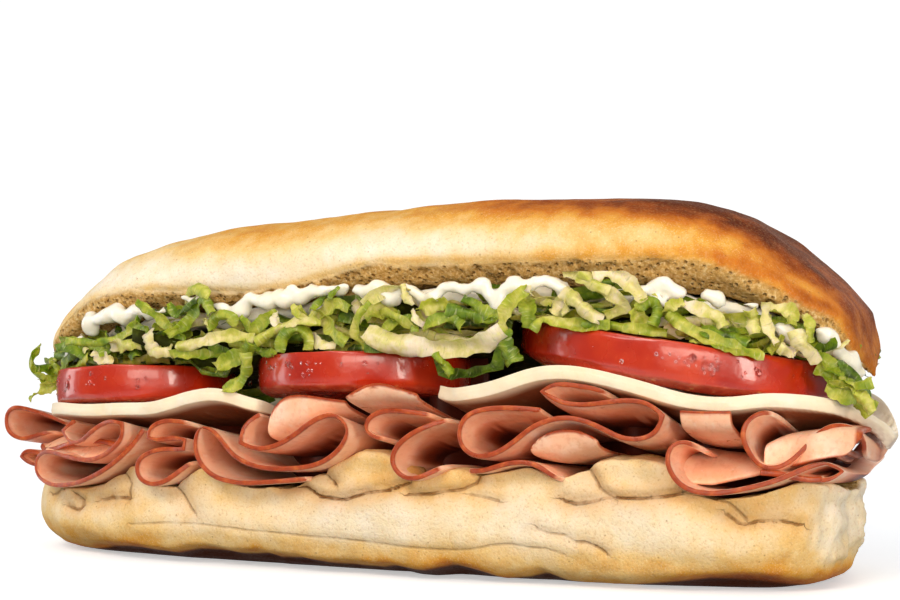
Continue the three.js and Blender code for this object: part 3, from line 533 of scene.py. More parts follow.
def line_distance(x, z, line):
    """How far each point (x, z) is from a drawn line, how far above it, and on which side."""
    best = np.full(len(x), 99.0)
    above, side = np.zeros(len(x)), np.ones(len(x))
    for (x0, z0), (x1, z1) in zip(line, line[1:]):
        dx, dz = x1 - x0, z1 - z0
        t = np.clip(((x - x0) * dx + (z - z0) * dz) / (dx * dx + dz * dz), 0, 1)
        ex, ez = x - x0 - t * dx, z - z0 - t * dz
        gap = np.hypot(ex, ez)
        above = np.where(gap < best, ez, above)
        side = np.where(gap < best, np.where(dx * (z - z0) < dz * (x - x0), -1, 1), side)
        best = np.minimum(gap, best)
    return best, above, side


def only(piece):
    """Selects this piece alone."""
    bpy.ops.object.select_all(action="DESELECT")
    piece.select_set(True)
    bpy.context.view_layer.objects.active = piece


def modified(piece, kind, **settings):
    """Adds a modifier and applies it."""
    only(piece)
    made = piece.modifiers.new(kind.lower(), kind)
    for key, value in settings.items():
        setattr(made, key, value)
    bpy.ops.object.modifier_apply(modifier=made.name)


def fresh_copy(node, name):
    """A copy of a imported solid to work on: its own mesh, merged, in faces of four."""
    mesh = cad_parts[node].data.copy()
    mesh.materials.clear()
    piece = bpy.data.objects.new(name, mesh)
    bpy.context.scene.collection.objects.link(piece)
    only(piece)
    bpy.ops.object.mode_set(mode="EDIT")
    bpy.ops.mesh.select_all(action="SELECT")
    bpy.ops.mesh.remove_doubles(threshold=0.00002)
    bpy.ops.mesh.tris_convert_to_quads(face_threshold=0.9, shape_threshold=0.9)
    bpy.ops.mesh.customdata_custom_splitnormals_clear()
    bpy.ops.object.mode_set(mode="OBJECT")
    return piece


def finished(piece, finish, slot, *nodes):
    """Smooth shading, its finish, its body, its slot, which is not used, and the solids that it stands for."""
    only(piece)
    bpy.ops.object.shade_smooth()
    piece.data.materials.clear()
    piece.data.materials.append(finish)
    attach(piece, "root")
    if nodes:
        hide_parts(*nodes)
    return piece


def new_piece(name, points, faces):
    """A piece of its own, from points in millimetres."""
    mesh = bpy.data.meshes.new(name)
    mesh.from_pydata((np.asarray(points) * MM).tolist(), [], faces)
    piece = bpy.data.objects.new(name, mesh)
    bpy.context.scene.collection.objects.link(piece)
    return piece


def sheet(name, points, columns):
    """A sheet whose points run row by row, with so many columns."""
    starts = range(0, len(points) - columns, columns)
    faces = [(i + j, i + columns + j, i + columns + j + 1, i + j + 1) for i in starts for j in range(columns - 1)]
    return new_piece(name, points, faces)


def ball(add, **settings):
    """The points and faces of a small ball, to be laid down many times."""
    add(radius=1, **settings)
    made = bpy.context.object
    points, faces = np.array([v.co for v in made.data.vertices]), [list(p.vertices) for p in made.data.polygons]
    bpy.data.objects.remove(made)
    return points, faces


def many_balls(name, shapes, faces):
    """One piece from many balls that all have these faces."""
    step = len(shapes[0])
    polygons = [[n * step + i for i in face] for n in range(len(shapes)) for face in faces]
    return new_piece(name, np.concatenate(shapes), polygons)


def surface_of(*names):
    """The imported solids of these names, to be felt with a straight line."""
    points, faces = [], []
    for name in names:
        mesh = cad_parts[name].data
        start = len(points)
        points += [v.co / MM for v in mesh.vertices]
        faces += [[start + i for i in polygon.vertices] for polygon in mesh.polygons]
    return BVHTree.FromPolygons(points, faces)


def loaf_half(node, name):
    """One half of the roll as a fine, softened mesh."""
    piece = fresh_copy(node, name)
    modified(piece, "SUBSURF", subdivision_type="SIMPLE", levels=2, render_levels=2)
    modified(piece, "REMESH", mode="VOXEL", voxel_size=BREAD_VOXEL * MM)
    modified(piece, "SMOOTH", factor=0.5, iterations=14)
    return piece


def fill_under_ham(co):
    """Raises the heel's shoulder in front and behind, so that the ham lies on it."""
    ham, bread = surface_of(*HAM), surface_of("roll_heel")
    x, y, z = co.T
    inset = half_width(x, 0, HEEL_PLAN) - np.abs(y - MIDDLE_Y)
    xs, insets = np.arange(-99, 100, 2.0), (1.0, 3.0, 6.0, 10.0)
    for side in (FRONT, BEHIND):
        rises = []
        for depth in insets:
            lifts = []
            for at in xs:
                across = side_at(at, -depth, HEEL_PLAN, side)
                above = ham.ray_cast(Vector((at, across, 8)), Vector((0, 0, 1)))[0]
                top = bread.ray_cast(Vector((at, across, 60)), Vector((0, 0, -1)))[0]
                room = min(above.z if above else 24, 27) - (top.z if top else 24) - 0.2
                lifts.append(np.clip(room, 0, 7))
            lifts = np.convolve(np.pad(lifts, 2, mode="edge"), [0.1, 0.25, 0.3, 0.25, 0.1], "valid")
            rises.append(np.interp(x, xs, lifts))
        shares = np.clip(np.interp(inset, insets, range(4)), 0, 3)
        lower = np.minimum(shares.astype(int), 2)
        rises = np.stack(rises)
        row = np.arange(len(x))
        rise = rises[lower, row] + (rises[lower + 1, row] - rises[lower, row]) * (shares - lower)
        z += rise * ramp(z, 9, 17) * ramp(inset, 14, 10) * ((y - MIDDLE_Y) * side > 0)


def lay_seams():
    """Shares the creases out so that no two close ones are drawn by the same pair of attributes."""
    groups = [[] for _ in range(SEAM_PAIRS)]
    for crease in CREASES:
        side, _, _, line = crease
        spots = smooth_line([(x, 0, z) for x, z in line], 24)
        for group in groups:
            near = [other for other in group if other[0] == side]
            if all(line_distance(spots[:, 0], spots[:, 2], other[3])[0].min() > CREASE_GAP for other in near):
                break
        group.append(crease)
    return groups


def bake_heel(finish):
    """The lower half: filled up under the ham, creased, torn at its right end, and curled up at its foot."""
    piece = loaf_half("roll_heel", "heel_of_the_roll")
    co, out = points_of(piece), normals_of(piece)
    fill_under_ham(co)
    x, y, z = co.T
    flank = ramp(np.abs(out[:, 2]), 0.95, 0.5)
    lift = 1.0 * uneven(co, 24, 1) + 0.45 * uneven(co, 9, 2) + 0.16 * uneven(co, 3, 3)
    fold, seams = np.zeros(len(co)), [(np.ones(len(co)), np.zeros(len(co))) for _ in range(SEAM_PAIRS)]
    drawn = [(crease, number) for number, group in enumerate(lay_seams()) for crease in group]
    for (side, depth, width, line), number in drawn:
        gap, above, way = line_distance(x, z, line)
        here = (y - MIDDLE_Y) * side > 8
        groove = np.exp(-((gap / width) ** 2))
        valley = np.exp(-((gap / (2.6 * width)) ** 2))
        lip = np.exp(-(((above - 2.4 * width) / (2 * width)) ** 2)) * np.exp(-((gap / (4 * width)) ** 2))
        lift += here * depth * (-0.8 * groove - 0.22 * valley + 0.36 * lip)
        near = here * np.exp(-((gap / 1.8) ** 2)) * min(1, 0.2 + 0.38 * depth)
        fold = np.maximum(fold, here * min(1, 0.5 * depth) * np.exp(-((gap / (2.8 * width + 0.6)) ** 2)))
        seam, nearest = seams[number]
        seams[number] = np.where(near > nearest, np.clip(way * gap / 2, -1, 1), seam), np.maximum(near, nearest)
    torn = ramp(x, 94, 100) * ramp(z, 3, 7)
    lift += torn * (1.0 * uneven(co, 3, 8) + 0.5 * uneven(co, 1.6, 9) - 0.2)
    pleats = uneven(co * [1, 1, 0.3], 6.5, 5)
    lift += ramp(z, 6.5, 2.5) * flank * 0.5 * pleats
    foot_gap = read(FOOT_GAPS, np.where(y < MIDDLE_Y, x, 9 - 0.93 * x)) + 0.25 * pleats
    tuck = ramp(z, foot_gap + 1.7, 0.55 * foot_gap) * (1.2 + 1.3 * foot_gap)
    along = half_width(x, 0, HEEL_PLAN)
    co[:, 0] -= read(WORN_END, z) * ramp(x, 88, 100)
    co[:, 1] -= np.sign(y - MIDDLE_Y) * tuck * ramp(np.abs(y - MIDDLE_Y) / along, 0.5, 0.9)
    co[:, 0] -= np.sign(x) * tuck * ramp(np.abs(x), 82, 98)
    lift *= ramp(z, 0.0, 1.2)
    co += out * lift[:, None]
    co[:, 2] = np.maximum(co[:, 2], 0)
    set_points(piece, co)
    patches = uneven(co, 14, 11)
    low = z - foot_gap + 0.7 * uneven(co, 6, 12)
    pale = np.exp(-(((x - 4) / 26) ** 2)) + 0.6 * np.exp(-(((x - 56) / 20) ** 2))
    bake = 0.25 + 0.1 * patches + 0.16 * ramp(z, 11, 4.5) + 0.2 * ramp(low, 3, 0.4)
    bake -= 0.16 * pale * ramp(z, 6, 10) * ramp(z, 21, 14)
    # The first term browns the upper flank under the ham: painted shade from the ham above.
    bake += 0.07 * ramp(z, 17, 24) * (1 - torn) + 0.07 * ramp(x, 60, 100) + 0.08 * ramp(z, 10, 4) * ramp(x, 0, -70)
    bake += 0.12 * ramp(x, 62, 80) * ramp(z, 6, 3)
    paint(piece, "bake", np.clip(bake - 0.25 * torn, 0, 1))
    # Painted shade beside the creases, with a little random tone.
    paint(piece, "fold", np.clip(fold + 0.08 * uneven(co, 5, 14), 0, 1))
    # Painted shade: where each crease's dark line runs, and how strong it is.
    for number, (seam, nearest) in enumerate(seams):
        paint(piece, f"seam_{number}", seam)
        paint(piece, f"seam_depth_{number}", nearest)
    # Painted shadow: near-black in the band of the foot gap, where the foot curls up from the table.
    paint(piece, "painted_foot_shadow", ramp(z, foot_gap + 0.5, foot_gap - 0.3) * ramp(foot_gap, 0.1, 0.5))
    inset = along - np.abs(y - MIDDLE_Y)
    paint(piece, "crumb", ramp(out[:, 2], 0.75, 0.95) * ramp(z, 8, 12) * ramp(inset, 5, 9))
    finished(piece, finish, "bread", "roll_heel")


def bake_crown(finish):
    """The upper half: its skin swollen and browned, its cut edge open crumb."""
    piece = loaf_half("roll_crown", "crown_of_the_roll")
    co, out = points_of(piece), normals_of(piece)
    x, y, z = co.T
    edge = read(CRUST_EDGE, x)
    swell = read(TOP_SWELL, x) * ramp(z, edge, edge + 9)
    right = read(RIGHT_SWELL, z) * ramp(x, 86, 98)
    left = read(LEFT_SWELL, z) * ramp(x, -80, -95)
    rim = 0.9 * uneven(co * [1, 1, 0.2], 6, 21)
    crumb = ramp(z + rim, edge + 0.2, edge - 0.7)
    lift = (1 - crumb) * (0.5 * uneven(co, 26, 22) + 0.22 * uneven(co, 9, 23) + 0.06 * uneven(co, 3, 24))
    holes = uneven(co, 2.1, 25) + 0.6 * uneven(co, 1.2, 26)
    lift += crumb * (0.5 * uneven(co, 5, 27) - 1.1 * ramp(holes, 0.25, 0.9) + 0.25 * uneven(co, 1.3, 28))
    lip = np.exp(-(((z + rim - edge - 1.4) / 1.3) ** 2)) * (1 - crumb)
    lift += 0.35 * lip
    co += out * lift[:, None]
    co[:, 0] += right - left
    co[:, 2] += swell
    set_points(piece, co)
    rise = np.clip((z - edge) / CROWN_DOME, 0, 1.1)
    rightward = ramp(x, 5, 95)
    crest = ramp(np.abs(out[:, 1]), 0.6, 0.1)
    pale = ramp(rise, 0.02, 0.12) * ramp(rise, 0.6, 0.2) * ramp(x, 62, 10) * ramp(x, -97, -74)
    # The lip just above the crust edge is browned a little: a painted shadow line along the crust edge.
    bake = 0.29 + 0.28 * ramp(rise, 0.35, 1.0) - 0.24 * pale + 0.1 * lip - 0.05 * ramp(x, -10, -60)
    bake += rightward * (0.2 + 0.38 * ramp(rise, 0.3, 0.9)) + 0.14 * ramp(x, 68, 96)
    bake += 0.1 * ramp(x, 15, 70) * ramp(rise, 0.25, 0.7) + 0.34 * crest * ramp(x, 40, 96) * ramp(rise, 0.1, 0.4)
    bake += 0.08 * ramp(x, -20, 40) * ramp(rise, 0.5, 1.0)
    bake += 0.2 * ramp(x, -54, -88) * ramp(rise, 0.3, 0.8) + 0.2 * ramp(x, -76, -92) * ramp(rise, 0.1, 0.4)
    bake = np.minimum(bake + 0.16 * crest * ramp(x, -66, -94), 0.6 + 0.6 * ramp(x, -70, -10))
    bake = np.where(bake > 0.8, 0.8 + 0.4 * (bake - 0.8), bake)
    bake += 0.06 * uneven(co, 16, 29) + 0.04 * uneven(co, 5, 30)
    paint(piece, "bake", np.clip(bake, 0, 1))
    paint(piece, "fold", np.clip(0.1 * uneven(co, 4, 31), 0, 1))
    for number in range(SEAM_PAIRS):
        paint(piece, f"seam_{number}", np.ones(len(co)))
        paint(piece, f"seam_depth_{number}", np.zeros(len(co)))
    paint(piece, "painted_foot_shadow", np.zeros(len(co)))
    paint(piece, "crumb", crumb)
    finished(piece, finish, "bread", "roll_crown")


def cut_edge_distance(co):
    """How far each point of a slice is from its cut edge in front or behind."""
    cell = np.round((co[:, [0, 2]] - co[:, [0, 2]].min(0)) / 1.2).astype(int) + 1
    shape = cell.max(0) + 3
    front, back = np.full(shape, 999.0), np.full(shape, -999.0)
    np.minimum.at(front, tuple(cell.T), co[:, 1])
    np.maximum.at(back, tuple(cell.T), co[:, 1])
    for axis in (0, 1):
        front = np.minimum.reduce([np.roll(front, s, axis) for s in (-1, 0, 1)])
        back = np.maximum.reduce([np.roll(back, s, axis) for s in (-1, 0, 1)])
    return np.minimum(co[:, 1] - front[tuple(cell.T)], back[tuple(cell.T)] - co[:, 1])


def leaf_edge_distance(co):
    """The same for a slice turned up at the front: from its upper edge and its ends."""
    cell = np.round((co[:, 0] - co[:, 0].min()) / 1.2).astype(int)
    top = np.full(cell.max() + 1, -999.0)
    np.maximum.at(top, cell, co[:, 2])
    front = co[:, 1] < co[:, 1].min() + 4
    ends = np.minimum(co[:, 0] - co[:, 0].min(), co[:, 0].max() - co[:, 0])
    return np.minimum(np.where(front, top[cell] - co[:, 2], 9 + co[:, 1] - co[:, 1].min()), ends + 0.5)


def wave(co, amount, size, seed):
    """Shifts points by slow waves, the same for all that lie together, so thin slices keep their thickness."""
    shift = np.stack([uneven(co, size, seed), 0.4 * uneven(co, size, seed + 1), uneven(co, size, seed + 2)], 1)
    return co + amount * shift


def lay_ham(finish):
    for name in HAM:
        piece = fresh_copy(name, "folded_" + name)
        modified(piece, "BEVEL", width=0.38 * MM, segments=2, limit_method="ANGLE", angle_limit=math.radians(72))
        modified(piece, "SUBSURF", levels=2, render_levels=2)
        co, out = points_of(piece), normals_of(piece)
        turned_up = int(name.split("_")[1]) > LAST_HAM_LOOP
        edge = leaf_edge_distance(co) if turned_up else cut_edge_distance(co)
        rind = ramp(edge, 0.9, 0.4)
        if not turned_up:
            rind = np.maximum(rind, ramp(np.abs(out[:, 1]), 0.4, 0.62) * ramp(edge, 3.6, 2.6))
        co = wave(co, 0.22, 9, 41)
        co[:, 1] += np.sign(co[:, 1] - MIDDLE_Y) * 0.5 * uneven(co * [1, 0, 1], 5, 44) * ramp(edge, 6, 0)
        set_points(piece, co)
        paint(piece, "rind", rind)
        # Painted shade: darker further from the cut edge, and darker on faces turned down.
        reach = np.clip(edge / (45 if turned_up else 21), 0, 1)
        paint(piece, "depth", reach * (0.4 + 0.6 * ramp(out[:, 2], 0.5, -0.5)))
        finished(piece, finish, "ham", name)


# Short folds near the ends of the roll: how far each one stands out, and its line, (x, z).
ENDS_OF_HAM = {
    "ham_tucked_left": (-0.4, [(-98.5, 25.4), (-95, 24.6), (-90, 25), (-84, 26.4), (-78, 27.3), (-71, 27.6),
        (-64, 26.4)]),
    "ham_tucked_right": (4, [(86.5, 25.2), (89.5, 24.9), (92.5, 24.2), (95.5, 23.7), (97.5, 23.8)]),
}


def tuck_ham_inside(finish, name, setback):
    """A slice set on edge and folded to and fro in the roll, behind the loops of the others."""
    heel, roof = surface_of("roll_heel"), surface_of("lettuce", "mayonnaise", "roll_crown", "cheese_1", "cheese_2")
    down, up = Vector((0, 0, -1)), Vector((0, 0, 1))
    points, columns = [], 9
    for x in np.linspace(-86, 94, 183):
        y = MIDDLE_Y + setback * float(ramp(abs(x), 94, 70))
        y += 5 * math.sin(x / 3.1 + 1.3 * math.sin(x / 11) + setback) * float(ramp(abs(x), 93, 78))
        low = heel.ray_cast(Vector((x, y, 60)), down)[0]
        high = roof.ray_cast(Vector((x, y, 28)), up)[0]
        low, high = (low.z if low else 25) - 0.6, (high.z if high else 44) + 0.6
        for share in np.linspace(0, 1, columns):
            points.append((x, y + 1.6 * math.sin(share * 6 + x / 7), low + (high - low) * share))
    piece = sheet(name, points, columns)
    modified(piece, "SOLIDIFY", thickness=1.1 * MM, offset=0)
    paint(piece, "rind", np.zeros(len(piece.data.vertices)))
    # Painted shade: the whole slice is given full depth, dark as the inside of the roll.
    paint(piece, "depth", np.ones(len(piece.data.vertices)))
    finished(piece, finish, "ham")


# Faces of slices seen between the loops: how far each stands out, its foot and its upper line, (x, z).
LEANING_HAM = {
    "ham_face_left": (-0.6, [(-98, 24.6), (-90, 24.2), (-81.4, 23.2), (-74, 23), (-67, 23.2)],
                      [(-98, 26.4), (-92, 28.2), (-85, 28.4), (-76, 28.6), (-67, 29.2)]),
    "ham_face_right": (-2.4, [(66, 26), (68.5, 23.6), (71.5, 22.3), (76, 22.1), (82, 23.6), (88, 25.2)],
                       [(66, 27.8), (69.3, 28.4), (72.1, 28.4), (76, 27.8), (82, 27.2), (88, 26.8)]),
}


def lean_ham(finish):
    """Slices whose faces lean back from the front between two loops."""
    rows, columns = 40, 16
    for name, (out, foot, top) in LEANING_HAM.items():
        points, run = [], []
        for x in np.linspace(foot[0][0], foot[-1][0], rows):
            low, high = read(foot, x), read(top, x)
            front = side_at(x, out, HEEL_PLAN)
            for s in np.linspace(0, 1, columns):
                back = front + 14 * s**1.3 + 0.4 * math.sin(x / 2.3 + 3 * s)
                points.append((x, back, low + (high - low) * math.sin(s * math.pi / 2)))
                run.append(s * 15)
        piece = sheet(name, points, columns)
        paint(piece, "rind", np.zeros(len(points)))
        # Painted shade: darker further back from the front.
        paint(piece, "depth", 0.5 * ramp(np.array(run), 3, 15))
        modified(piece, "SOLIDIFY", thickness=1.0 * MM, offset=0)
        modified(piece, "SUBSURF", levels=1, render_levels=1)
        finished(piece, finish, "ham")


def hang_ham_leaf(finish):
    """The last fold at the right: a slice that comes out level and turns down over the front of the others."""
    rows, columns = 34, 22
    points, from_foot, from_end = [], [], []
    for i in range(rows):
        t = i / (rows - 1)
        x = 86.5 + 18 * t
        front = side_at(x, 1.2 + 4.4 * float(ramp(x, 90, 98)), HEEL_PLAN)
        top = 29.2 + 4.3 * math.sin(math.pi * (0.06 + 0.62 * t)) + 0.3 * math.sin(9 * t)
        foot = 26.4 + 2.4 * t * t - 0.5 * math.sin(7 * t) + 3.4 * float(ramp(t, 0.78, 1)) ** 2
        for j in range(columns):
            s = j / (columns - 1)
            hang = math.cos(min(s / 0.42, 1) * math.pi / 2)
            points.append((x, front + 1.2 * (1 - hang) + 30 * max(0, s - 0.35), top - (top - foot) * hang**1.4))
            from_foot.append(s * 24)
            from_end.append((1 - t) * 19)
    piece = sheet("ham_leaf_right", points, columns)
    paint(piece, "rind", ramp(np.minimum(from_foot, from_end), 1.8, 1.1))
    # Painted shade: darker where the slice runs back from its hanging foot into the roll.
    paint(piece, "depth", ramp(np.array(from_foot), 9, 22))
    modified(piece, "SOLIDIFY", thickness=1.1 * MM, offset=0)
    modified(piece, "SUBSURF", levels=1, render_levels=1)
    finished(piece, finish, "ham")


def tuck_ham_between(finish):
    """Short folds that fill the gaps between the loops near the two ends."""
    columns = 33
    for name, (out, line) in ENDS_OF_HAM.items():
        points = []
        for x, _, z in smooth_line([(x, 0, z) for x, z in line], 40):
            reach = float(half_width(x, out, HEEL_PLAN))
            for share in np.linspace(-1, 1, columns):
                y = MIDDLE_Y + share * reach
                points.append((x, y, z + 0.5 * math.sin(share * 9 + x / 4) * (1 - abs(share))))
        piece = sheet(name, points, columns)
        modified(piece, "SOLIDIFY", thickness=1.2 * MM, offset=0)
        modified(piece, "BEVEL", width=0.3 * MM, segments=2, limit_method="ANGLE", angle_limit=math.radians(60))
        co = points_of(piece)
        edge = half_width(co[:, 0], out, HEEL_PLAN) - np.abs(co[:, 1] - MIDDLE_Y)
        paint(piece, "rind", ramp(edge, 0.9, 0.5))
        # Painted shade: darker further in from the cut edge.
        paint(piece, "depth", np.clip(edge / 17, 0, 1))
        finished(piece, finish, "ham")


# How much thicker each cheese slice is near its showing edges, above and below, and how much further
# the left slice reaches.
CHEESE_ABOVE, CHEESE_BELOW, CHEESE_REACH = 0.85, 0.25, 3.6


def lay_cheese(finish):
    for name in ("cheese_1", "cheese_2"):
        piece = fresh_copy(name, "slice_of_" + name)
        modified(piece, "BEVEL", width=0.45 * MM, segments=2, limit_method="ANGLE", angle_limit=math.radians(50))
        modified(piece, "SUBSURF", levels=3, render_levels=3)
        out = normals_of(piece)
        co = wave(points_of(piece), 0.2, 10, 51)
        edge = cut_edge_distance(co)
        co[:, 1] += np.sign(co[:, 1] - MIDDLE_Y) * 0.45 * uneven(co * [1, 0, 1], 3, 53) * ramp(edge, 5, 0)
        above, below = ramp(out[:, 2], 0.2, 0.8), ramp(-out[:, 2], 0.2, 0.8)
        co[:, 2] += (CHEESE_ABOVE * above - CHEESE_BELOW * below) * ramp(edge, 10, 3)
        if name == "cheese_1":
            co[:, 0] -= CHEESE_REACH * ramp(co[:, 0], -66, -86)
        set_points(piece, co)
        # Painted shade under the slice: faces turned down, away from the cut edge.
        paint(piece, "under", ramp(-out[:, 2], 0.3, 0.8) * ramp(edge, 0.6, 5))
        finished(piece, finish, "cheese", name)


# Tomato slices: centre and radius, how far the underside sags, and where most drops sit on the skin:
# direction from the centre and spread, in degrees.
TOMATOES = {"tomato_1": (-69.85, -14.7, 22.5), "tomato_2": (-9.95, -14.2, 25.6), "tomato_3": (62.65, -3.2, 36)}
TOMATO_SAG = {"tomato_1": 0.8, "tomato_2": 1.4, "tomato_3": 2.2}
WETTEST = {"tomato_1": (-122, 9), "tomato_2": (-118, 12), "tomato_3": (-64, 7)}
DROP_SIZES = (0.18, 0.22, 0.26, 0.32, 0.4, 0.62)


def crease_cut_edges(piece, middle, radius):
    """Keeps the edge between a slice's skin and its cut faces crisp."""
    co = points_of(piece)
    on_edge = np.abs(np.hypot(co[:, 0] - middle[0], co[:, 1] - middle[1]) - radius) < 0.6
    crease = piece.data.attributes.new("crease_edge", "FLOAT", "EDGE")
    for edge in piece.data.edges:
        crease.data[edge.index].value = 0.93 if all(on_edge[i] for i in edge.vertices) else 0.0


def flatten_skin(co, x0, y0, radius):
    """Presses the round of a slice's skin flatter."""
    reach = np.hypot(co[:, 0] - x0, co[:, 1] - y0)
    wanted = np.where(reach > radius - 1, radius - 1 + 0.35 * (reach - radius + 1), reach) / reach
    co[:, 0] = x0 + (co[:, 0] - x0) * wanted
    co[:, 1] = y0 + (co[:, 1] - y0) * wanted


def slice_tomatoes(finish):
    for name, (x0, y0, radius) in TOMATOES.items():
        piece = fresh_copy(name, "slice_of_" + name)
        crease_cut_edges(piece, (x0, y0), radius - 1)
        modified(piece, "SUBSURF", levels=3, render_levels=3)
        co, out = points_of(piece), normals_of(piece)
        level = np.abs(out[:, 2])
        flatten_skin(co, x0, y0, radius)
        lobes = 0.4 * uneven(co * [1, 1, 0.4], 12, 61) * ramp(level, 0.9, 0.4)
        dent = ramp(level, 0.6, 0.95) * (0.2 * uneven(co, 5, 62) - 0.1)
        co += out * (lobes + dent)[:, None]
        under = ramp(-out[:, 2], 0.6, 0.9)
        away = np.hypot(co[:, 0] - x0, co[:, 1] - y0) / radius
        co[:, 2] -= under * TOMATO_SAG[name] * ramp(away, 1.0, 0.84)
        set_points(piece, co)
        paint(piece, "skin", ramp(level, 0.92, 0.7))
        finished(piece, finish, "tomato", name)


def add_drops(finish):
    """Drops of water on the tomato skins: flat beads, one mesh."""
    chance = random.Random(5)
    skins = surface_of(*TOMATOES)
    bead, faces = ball(bpy.ops.mesh.primitive_uv_sphere_add, segments=10, ring_count=6)
    drops, levels = [], 24
    for name, (x0, y0, radius) in TOMATOES.items():
        low, high = (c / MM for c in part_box(name))
        for _ in range(int(radius * 1.9)):
            turn = math.radians(chance.uniform(-178, 8))
            size = chance.choice(DROP_SIZES) * chance.uniform(0.8, 1.1)
            if chance.random() < 0.4:
                turn = math.radians(chance.gauss(*WETTEST[name]))
                size *= 1.4
            way = Vector((math.cos(turn), math.sin(turn), 0))
            found = []
            for step in range(levels):
                z = low.z + (high.z - low.z) * (step + 0.5) / levels
                place, normal, _, _ = skins.ray_cast(Vector((x0, y0, z)) + way * 60, -way)
                if place is not None and abs(normal.z) < 0.35 and (place.xy - Vector((x0, y0))).length > radius - 2.5:
                    found.append((place, normal))
            if len(found) < 3:
                continue
            place, normal = chance.choice(found[1:-1])
            turned = np.array(normal.to_track_quat("Z", "Y").to_matrix())
            shape = bead * [size, size * 1.15, size * 0.55]
            seat = np.array([place])
            flatten_skin(seat, x0, y0, radius)
            drops.append(shape @ turned.T + seat)
    finished(many_balls("drops_on_the_tomato", drops, faces), finish, "tomato")


class Strips:
    """Thin strips of leaf, gathered into one mesh."""

    def __init__(self):
        self.points, self.faces, self.tones, self.places, self.count = [], [], [], [], 0

    def add(self, path, facing, width, tone, thick, cup, frill, columns, seed):
        """A strip along a path with its face turned to `facing`, bowed across and frilled at its edges."""
        path, facing = np.asarray(path, float), np.asarray(facing, float)
        rows = len(path)
        along = np.gradient(path, axis=0)
        length = np.linalg.norm(along, axis=1, keepdims=True)
        along = along / np.maximum(length, 1e-6)
        facing = facing - (facing * along).sum(1, keepdims=True) * along
        facing /= np.maximum(np.linalg.norm(facing, axis=1, keepdims=True), 1e-6)
        across = np.cross(along, facing)
        s = np.linspace(0, 1, rows)
        run = np.concatenate([[0], np.cumsum(np.linalg.norm(np.diff(path, axis=0), axis=1))])
        breadth = 0.8 + 0.15 * np.sin(np.pi * s) + 0.14 * np.sin(9 * s + seed) + 0.1 * np.sin(23 * s + 2 * seed)
        breadth += 0.05 * np.sin(47 * s + 3 * seed)
        breadth *= width / 2
        u = np.linspace(-1, 1, columns)
        bow = np.sin(run * 0.22 + seed)[:, None]
        lift = cup * width / 2 * bow * (1 - np.abs(u) ** 1.5)[None, :] + frill * (
            np.sin(run[:, None] * 1.3 + seed + 1.5 * u[None, :]) * np.abs(u[None, :]) ** 2
        )
        middle = path[:, None] + across[:, None] * (u[None, :] * breadth[:, None])[..., None]
        middle = middle + facing[:, None] * lift[..., None]
        half = (thick / 2 * (1 - 0.55 * u**2))[None, :, None] * facing[:, None]
        self.points.append(np.concatenate([(middle + half).reshape(-1, 3), (middle - half).reshape(-1, 3)]))
        start, layer = self.count, rows * columns

        def at(i, j, k):
            return start + k * layer + i * columns + j

        for i in range(rows - 1):
            for j in range(columns - 1):
                self.faces.append((at(i, j, 0), at(i, j + 1, 0), at(i + 1, j + 1, 0), at(i + 1, j, 0)))
                self.faces.append((at(i, j, 1), at(i + 1, j, 1), at(i + 1, j + 1, 1), at(i, j + 1, 1)))
            last = columns - 1
            self.faces.append((at(i, 0, 0), at(i + 1, 0, 0), at(i + 1, 0, 1), at(i, 0, 1)))
            self.faces.append((at(i, last, 0), at(i, last, 1), at(i + 1, last, 1), at(i + 1, last, 0)))
        for j in range(columns - 1):
            self.faces.append((at(0, j, 0), at(0, j, 1), at(0, j + 1, 1), at(0, j + 1, 0)))
            end = rows - 1
            self.faces.append((at(end, j, 0), at(end, j + 1, 0), at(end, j + 1, 1), at(end, j, 1)))
        shade = tone + 0.1 * np.sin(run * 0.35 + seed)[:, None] + 0.06 * (u**2)[None, :]
        spread = np.stack(np.broadcast_arrays(run[:, None] + 31 * seed, (u * width / 2)[None, :]), -1).reshape(-1, 2)
        for _ in range(2):
            self.tones.append(np.broadcast_to(shade, (rows, columns)).ravel())
            self.places.append(spread)
        self.count += 2 * layer

    def piece(self, name):
        """All the strips as one piece, with their tones and a map laid along each of them."""
        piece = new_piece(name, np.concatenate(self.points), self.faces)
        mesh = piece.data
        paint(piece, "tone", np.clip(np.concatenate(self.tones), 0, 1))
        corner = np.empty(len(mesh.loops), np.int32)
        mesh.loops.foreach_get("vertex_index", corner)
        layer = mesh.uv_layers.new(name="leaf")
        layer.data.foreach_set("uv", (np.concatenate(self.places)[corner] * MM).astype(np.float32).ravel())
        return piece


def smooth_line(points, rows):
    """A curve through the points, evenly spaced."""
    points = np.asarray(points, float)
    ends = np.concatenate([[2 * points[0] - points[1]], points, [2 * points[-1] - points[-2]]])
    fine = []
    for a, b, c, d in zip(ends, ends[1:], ends[2:], ends[3:]):
        for t in np.linspace(0, 1, 12, endpoint=False):
            bent = (2 * a - 5 * b + 4 * c - d) * t**2 + (3 * b - a - 3 * c + d) * t**3
            fine.append(0.5 * (2 * b + (c - a) * t + bent))
    fine = np.array(fine + [points[-1]])
    run = np.concatenate([[0], np.cumsum(np.linalg.norm(np.diff(fine, axis=0), axis=1))])
    want = np.linspace(0, run[-1], rows)
    return np.stack([np.interp(want, run, fine[:, k]) for k in range(3)], 1)


def outward(x, side):
    """The way out of the roll at x, in plan."""
    slope = (half_width(x + 1, 0, CROWN_PLAN) - half_width(x - 1, 0, CROWN_PLAN)) / 2
    way = np.stack([-slope, np.full_like(slope, side), np.zeros_like(slope)], -1)
    return way / np.linalg.norm(way, axis=-1, keepdims=True)


